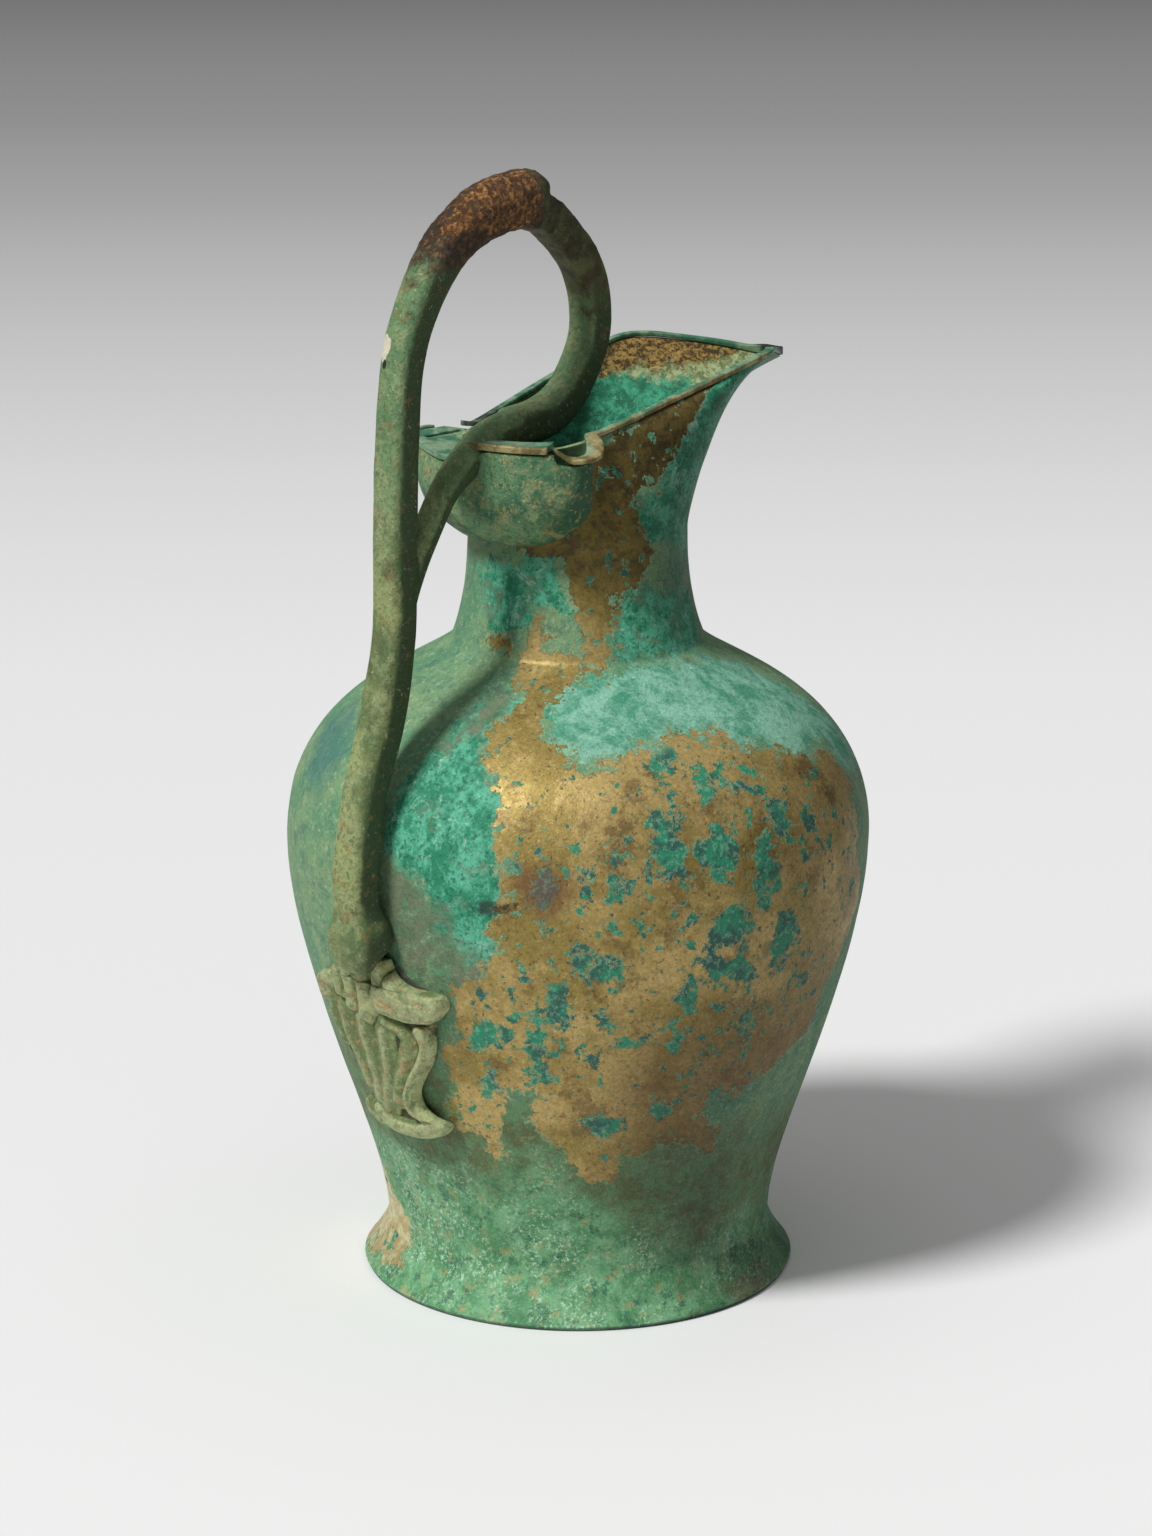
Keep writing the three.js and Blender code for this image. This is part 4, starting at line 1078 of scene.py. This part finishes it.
def frost_crust(paint, speck):
    """Pale blue-green powder in streaks over bright green."""
    colour = paint.lay((66, 146, 116), (136, 192, 166), paint.bumps(10, 9, 8, 0.8, 0.4), 0.4, 0.58)
    colour = paint.lay(colour, (50, 128, 100), paint.bumps(2, 36), 0.5, 0.6, 0.45)
    return paint.mix(paint.both(speck, 0.7), colour, (200, 222, 206))


def island_crust(paint):
    """Crust left on the metal: dark teal and bright green."""
    colour = paint.lay((44, 92, 80), (34, 136, 100), paint.bumps(5, 34, 6, 0.7), 0.44, 0.56)
    return paint.lay(colour, (124, 176, 146), paint.fine, 0.5, 0.62, 0.6)


def mouth_lining(paint, speck):
    """Inside the mouth: an ochre crust under the rim, then a chalky band, bright green, and painted shade
    deeper down.
    """
    lay, bumps = paint.lay, paint.bumps
    depth = paint.ragged(paint.fact("depth"), (bumps(5, 13, 8, 0.75), 14))
    chalk = lay((98, 112, 62), (168, 180, 134), bumps(1.8, 37, 7, 0.78), 0.42, 0.58)
    green = lay((8, 104, 74), (62, 166, 128), bumps(4, 39), 0.42, 0.6)
    green = paint.mix(paint.both(speck, 0.7), green, (170, 210, 184))
    colour = lay(chalk, green, depth, 5, 7)
    # Painted shade: darker teal the deeper it lies inside the mouth.
    colour = lay(colour, (18, 56, 46), depth, 12, 32)
    crust = lay((84, 64, 28), (206, 168, 88), bumps(1.5, 20, 7, 0.75), 0.44, 0.58)
    ochre = paint.ragged(paint.fact("ochre"), (bumps(3, 21), 18))
    return lay(colour, crust, ochre, -0.3, 0.3)


def sheet_light(paint, height):
    """A factor for the sheet's colour: gritty, and dimmer on the sides away from the light."""
    flank = paint.fact("flank")
    low = paint.both(paint.above(height, 100, 60), paint.above(flank, -0.2, 0.12))
    low = paint.both(low, paint.above(flank, 0.7, 0.3))
    neck = paint.both(paint.above(height, 166, 180), paint.above(flank, -0.1, 0.3))
    light = paint.scaled(paint.bumps(0.8, 4, 6), 1.5, 0.25)
    for shadow, loss in ((paint.above(flank, 0, 0.5), 0.25), (low, 0.3), (neck, 0.14)):
        light = paint.scaled(shadow, -loss, light)
    return light


def sheet_patina():
    """The vessel's sheet: crusts, veils and stains by place, and bare metal where the crust is gone."""
    paint = Paint("patinated_sheet")
    lay, bumps, middle = paint.lay, paint.bumps, paint.middle
    height = paint.height()
    speck = paint.above(bumps(1.8, 8, 8, 0.82), 0.6, 0.66)
    edge = paint.ragged(0.0, (bumps(7, 22, 6, 0.72), 18), (bumps(1.8, 23, 5, 0.65), 6))

    def cover(colour, patch, softness, other, strength=1.0):
        """Lays a colour over a patch with a ragged edge."""
        reach = paint.calculate("ADD", paint.fact(patch), edge)
        return lay(colour, other, reach, -softness, softness, strength)

    colour = green_crust(paint, height, speck)
    colour = cover(colour, "bright", 0.8, emerald_crust(paint, speck))
    colour = cover(colour, "frost", 1.6, frost_crust(paint, speck))
    colour = cover(colour, "blue", 5, (56, 112, 108), 0.7)
    veil = lay((88, 110, 80), (112, 118, 92), middle, 0.42, 0.58)
    patchy = paint.above(bumps(6, 38, 8, 0.78), 0.38, 0.52)
    colour = cover(colour, "veil", 3, veil, paint.both(patchy, 0.9))
    colour = lay(colour, island_crust(paint), paint.fact("bare"), 1.5, 4)
    way = bare_metal_way(paint)
    bare = paint.above(way, -0.1, 0.1)
    colour = lay(colour, (156, 182, 140), way, -0.9, -0.15, paint.both(paint.above(middle, 0.4, 0.56), 0.8))
    colour = paint.mix(bare, colour, brass(paint, height))
    colour = cover(colour, "red", 3, (118, 70, 58), 0.5)
    colour = cover(colour, "dark", 1.5, (30, 38, 30), 0.8)
    colour = paint.shade(colour, sheet_light(paint, height))
    within = paint.fact("within")
    colour = paint.mix(within, colour, mouth_lining(paint, speck))

    grain = bumps(0.5, 24, 3, 0.7)
    crusty = paint.scaled(paint.fine, 0.3, paint.both(grain, 0.16))
    worn = paint.scaled(middle, 0.12, paint.scaled(grain, 0.07, -0.2))
    lumps = paint.both(paint.above(paint.fact("ochre"), -1, 2), paint.both(bumps(1.5, 20, 7, 0.75), 2.2))
    relief = paint.scaled(within, lumps, paint.blend(bare, crusty, worn))
    roughness = paint.blend(bare, 0.68, paint.scaled(middle, 0.3, 0.36))
    metallic = paint.both(bare, paint.scaled(within, -0.5, 0.5))
    return paint.finish(colour, roughness, metallic, relief)


def cast_patina(name, light, dark, flank, ochre, hollows=False, flecked=0.56):
    """Cast bronze under a dull crust: pale powder, rusty flecks, and a darker side away from the light."""
    paint = Paint(name)
    lay, bumps, fact = paint.lay, paint.bumps, paint.fact
    colour = lay(dark, light, paint.coarse, 0.4, 0.6)
    colour = lay(colour, (94, 142, 100), paint.ragged(paint.height(), (paint.coarse, 60)), 186, 216, 0.6)
    colour = lay(colour, (150, 160, 112), paint.middle, 0.46, 0.62, 0.6)
    colour = lay(colour, dark, paint.fine, 0.5, 0.62, 0.7)
    colour = lay(colour, flank, paint.ragged(fact("flank"), (paint.middle, 0.9)), 0.05, 0.4)
    if hollows:
        relief = paint.ragged(fact("relief"), (paint.fine, 1.2))
        colour = lay(colour, (198, 204, 154), relief, 1.5, 2.3, 0.55)
        colour = lay(colour, (96, 120, 72), bumps(4, 9), 0.5, 0.6, 0.7)
        colour = lay(colour, (176, 144, 94), bumps(2.4, 10), 0.54, 0.6, 0.8)
        colour = lay(colour, (62, 66, 40), relief, 0.7, 0.1, 0.8)
    colour = lay(colour, ochre, bumps(4, 4), flecked, flecked + 0.06, 0.8)
    colour = lay(colour, (190, 196, 164), bumps(1.3, 5, 7), flecked + 0.04, flecked + 0.1)
    sway = (bumps(5, 8, 8, 0.78), 2.4)
    grain = paint.above(bumps(1.6, 6, 7, 0.78), 0.42, 0.6)
    crust = paint.above(paint.ragged(fact("crust"), sway), 0.05, 0.85)
    rust = paint.mix(grain, (54, 40, 26), (124, 92, 62))
    gold = paint.mix(grain, (72, 46, 24), (190, 132, 70))
    colour = paint.mix(crust, colour, lay(rust, gold, paint.ragged(fact("ochre"), sway), 0.2, 0.5))
    # Dark olive-brown over the front of the loop, where the fact says so.
    front_olive_tone = lay((70, 62, 34), (98, 102, 60), paint.middle, 0.4, 0.6)
    colour = lay(colour, front_olive_tone, paint.ragged(fact("front_olive"), sway), 0.2, 0.8)
    colour = lay(colour, (214, 208, 184), paint.ragged(fact("chip"), (paint.fine, 0.6)), 0.25, 0.4)
    # Painted shade of the small hole in the chip.
    colour = lay(colour, (26, 28, 22), fact("hole"), 0.3, 0.5)
    colour = paint.shade(colour, paint.scaled(bumps(0.8, 7, 6), 1.6, 0.2))
    relief = paint.scaled(paint.fine, 0.5, paint.both(paint.middle, 0.3))
    relief = paint.scaled(crust, paint.both(grain, 0.35), relief)
    return paint.finish(colour, 0.66, 0.08, relief)


def worn_bronze():
    """The strip and cover plates: teal patina, worn to dull metal where the fact says so."""
    paint = Paint("rim_bronze")
    worn = paint.above(paint.ragged(paint.fact("worn"), (paint.bumps(4, 4, 7, 0.75), 3)), -0.25, 0.25)
    teal = paint.lay((56, 112, 84), (124, 154, 122), paint.middle, 0.42, 0.58)
    metal = paint.lay((116, 102, 60), (168, 156, 108), paint.middle, 0.42, 0.58)
    # The dark fact: a dark brown tip on the spout, and painted shade on the far side of the strip behind the
    # handle.
    dark = paint.ragged(paint.fact("dark"), (paint.bumps(3, 5, 6, 0.75), 1))
    colour = paint.lay(paint.mix(worn, teal, metal), (36, 42, 32), dark, 0.3, 0.6)
    colour = paint.shade(colour, paint.scaled(paint.fine, 1.4, 0.3))
    return paint.finish(colour, 0.55, paint.both(worn, 0.3), paint.both(paint.fine, 0.35))


def turned_bronze():
    """The base: dull bronze with green patches."""
    paint = Paint("turned_bronze")
    colour = paint.lay((120, 102, 60), (70, 120, 94), paint.bumps(5, 2, 4, 0.6), 0.42, 0.6)
    return paint.finish(colour, 0.55, 0.35, paint.both(paint.bumps(1, 3, 4, 0.6), 0.15))


def lead_grey():
    """The solder seams."""
    paint = Paint("solder")
    patchy = paint.bumps(3, 2, 4, 0.6)
    colour = paint.lay((112, 112, 100), (84, 92, 80), patchy, 0.4, 0.6)
    return paint.finish(colour, 0.7, 0.2, paint.both(patchy, 0.2))


# Build

olive = cast_patina("cast_bronze", (150, 160, 104), (88, 110, 64), (62, 84, 50), (138, 108, 62))
leaf_green = cast_patina("leaf_bronze", (184, 200, 142), (132, 158, 98), (106, 124, 76), (176, 134, 82),
                         hollows=True)
apron_green = cast_patina("apron_bronze", (120, 164, 112), (36, 94, 62), (44, 92, 60), (166, 146, 92),
                          flecked=0.545)
strip_metal = worn_bronze()
vessel_body(sheet_patina())
base_plate(turned_bronze())
rim_band(strip_metal)
handle(olive)
neck_saddle(apron_green)
saddle_cover("near", strip_metal)
saddle_cover("far", strip_metal)
escutcheon(leaf_green)
solder_grey = lead_grey()
for name in ("base_solder", "saddle_solder", "escutcheon_solder"):
    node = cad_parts[name]
    node.data.materials.clear()
    node.data.materials.append(solder_grey)


# Studio: a floor with a painted falloff of light that darkens it far behind the jug, one large light on the
# handle's side, and the camera.
# Metres from here on.

VIEW_TURN, VIEW_PITCH = math.radians(42), math.radians(15.3)
LENS = 98.44
CAMERA_PLACE = (-0.75298, -0.67732, 0.40569)
KEY_TURN, KEY_RISE, KEY_SPREAD, KEY_POWER = math.radians(-8), math.radians(50), math.radians(13), 3.05
HORIZON_LIGHT, OVERHEAD_LIGHT = 0.04, 0.47
FLOOR_HALF = 12.0
# Greys of the floor's painted falloff of light, by the distance behind the jug, and outside the picture
FLOOR_GREYS = {-0.15: 232, 0.2: 227, 0.57: 224, 0.74: 219, 0.95: 211, 1.22: 198, 1.57: 180, 2.03: 155,
               2.53: 135, 3.66: 107}
OUTER_GREY = 112
RAMP_SCALE, RAMP_START = 0.2, 0.1


def from_origin(turn, rise):
    """A direction from the jug: turn is round from the handle's side, rise is up."""
    return Vector((-math.cos(turn) * math.cos(rise), -math.sin(turn) * math.cos(rise), math.sin(rise)))


def studio_floor():
    """Pale paper with a painted falloff of light: darker far behind the jug, to its sides and in front of it.
    """
    mesh = bpy.data.meshes.new("floor")
    corners = [(-1, -1), (1, -1), (1, 1), (-1, 1)]
    mesh.from_pydata([(x * FLOOR_HALF, y * FLOOR_HALF, 0) for x, y in corners], [], [(0, 1, 2, 3)])
    paint = Paint("floor_paper")
    distance = paint.along(math.cos(VIEW_TURN), math.sin(VIEW_TURN), 0)
    sideways = paint.calculate("ABSOLUTE", paint.along(math.sin(VIEW_TURN), -math.cos(VIEW_TURN), 0))
    ramp = paint.tree.nodes.new("ShaderNodeValToRGB")
    paint.join(ramp.inputs["Fac"], paint.scaled(distance, RAMP_SCALE, RAMP_START))
    stops = ramp.color_ramp.elements
    while len(stops) < len(FLOOR_GREYS):
        stops.new(1)
    for stop, (far, grey) in zip(stops, FLOOR_GREYS.items()):
        stop.position = far * RAMP_SCALE + RAMP_START
        stop.color = tone(grey, grey, grey)
    # Painted falloff of light to the sides of the jug and in front of it, down to a darker grey.
    width = paint.calculate("MAXIMUM", paint.calculate("ADD", distance, 1.0), 0.6)
    beside = paint.above(paint.calculate("DIVIDE", sideways, width), 0.19, 0.8)
    edge = paint.calculate("MAXIMUM", beside, paint.above(distance, -0.4, -1.4))
    colour = paint.mix(edge, ramp.outputs["Color"], (OUTER_GREY, OUTER_GREY, OUTER_GREY))
    mesh.materials.append(paint.finish(colour, 0.9, 0.0, 0.0))
    scene_object("floor", mesh)


def key_light():
    """A large, distant light on the handle's side."""
    light = bpy.data.lights.new("key", "SUN")
    light.angle = KEY_SPREAD
    light.energy = KEY_POWER
    lamp = scene_object("key", light)
    lamp.rotation_euler = from_origin(KEY_TURN, KEY_RISE).to_track_quat("Z", "Y").to_euler()


def room_light():
    """A neutral room, bright overhead and dim near the horizon."""
    world = bpy.data.worlds.new("room")
    world.use_nodes = True
    nodes, links = world.node_tree.nodes, world.node_tree.links
    direction = nodes.new("ShaderNodeSeparateXYZ")
    links.new(nodes.new("ShaderNodeTexCoord").outputs["Generated"], direction.inputs[0])
    rise = nodes.new("ShaderNodeMapRange")
    rise.interpolation_type = "SMOOTHSTEP"
    links.new(direction.outputs["Z"], rise.inputs["Value"])
    limits = {"From Min": 0.15, "From Max": 0.9, "To Min": HORIZON_LIGHT, "To Max": OVERHEAD_LIGHT}
    for name, value in limits.items():
        rise.inputs[name].default_value = value
    links.new(rise.outputs["Result"], nodes["Background"].inputs["Strength"])
    nodes["Background"].inputs["Color"].default_value = (1.0, 1.0, 1.0, 1.0)
    bpy.context.scene.world = world
    bpy.context.scene.view_settings.view_transform = "Standard"


def camera():
    """A long lens a little above the jug, turned from the handle to the near side."""
    data = bpy.data.cameras.new("camera")
    data.lens = LENS
    eye = scene_object("camera", data)
    eye.location = CAMERA_PLACE
    eye.rotation_euler = (-from_origin(VIEW_TURN, VIEW_PITCH)).to_track_quat("-Z", "Y").to_euler()
    bpy.context.scene.camera = eye


studio_floor()
key_light()
room_light()
camera()
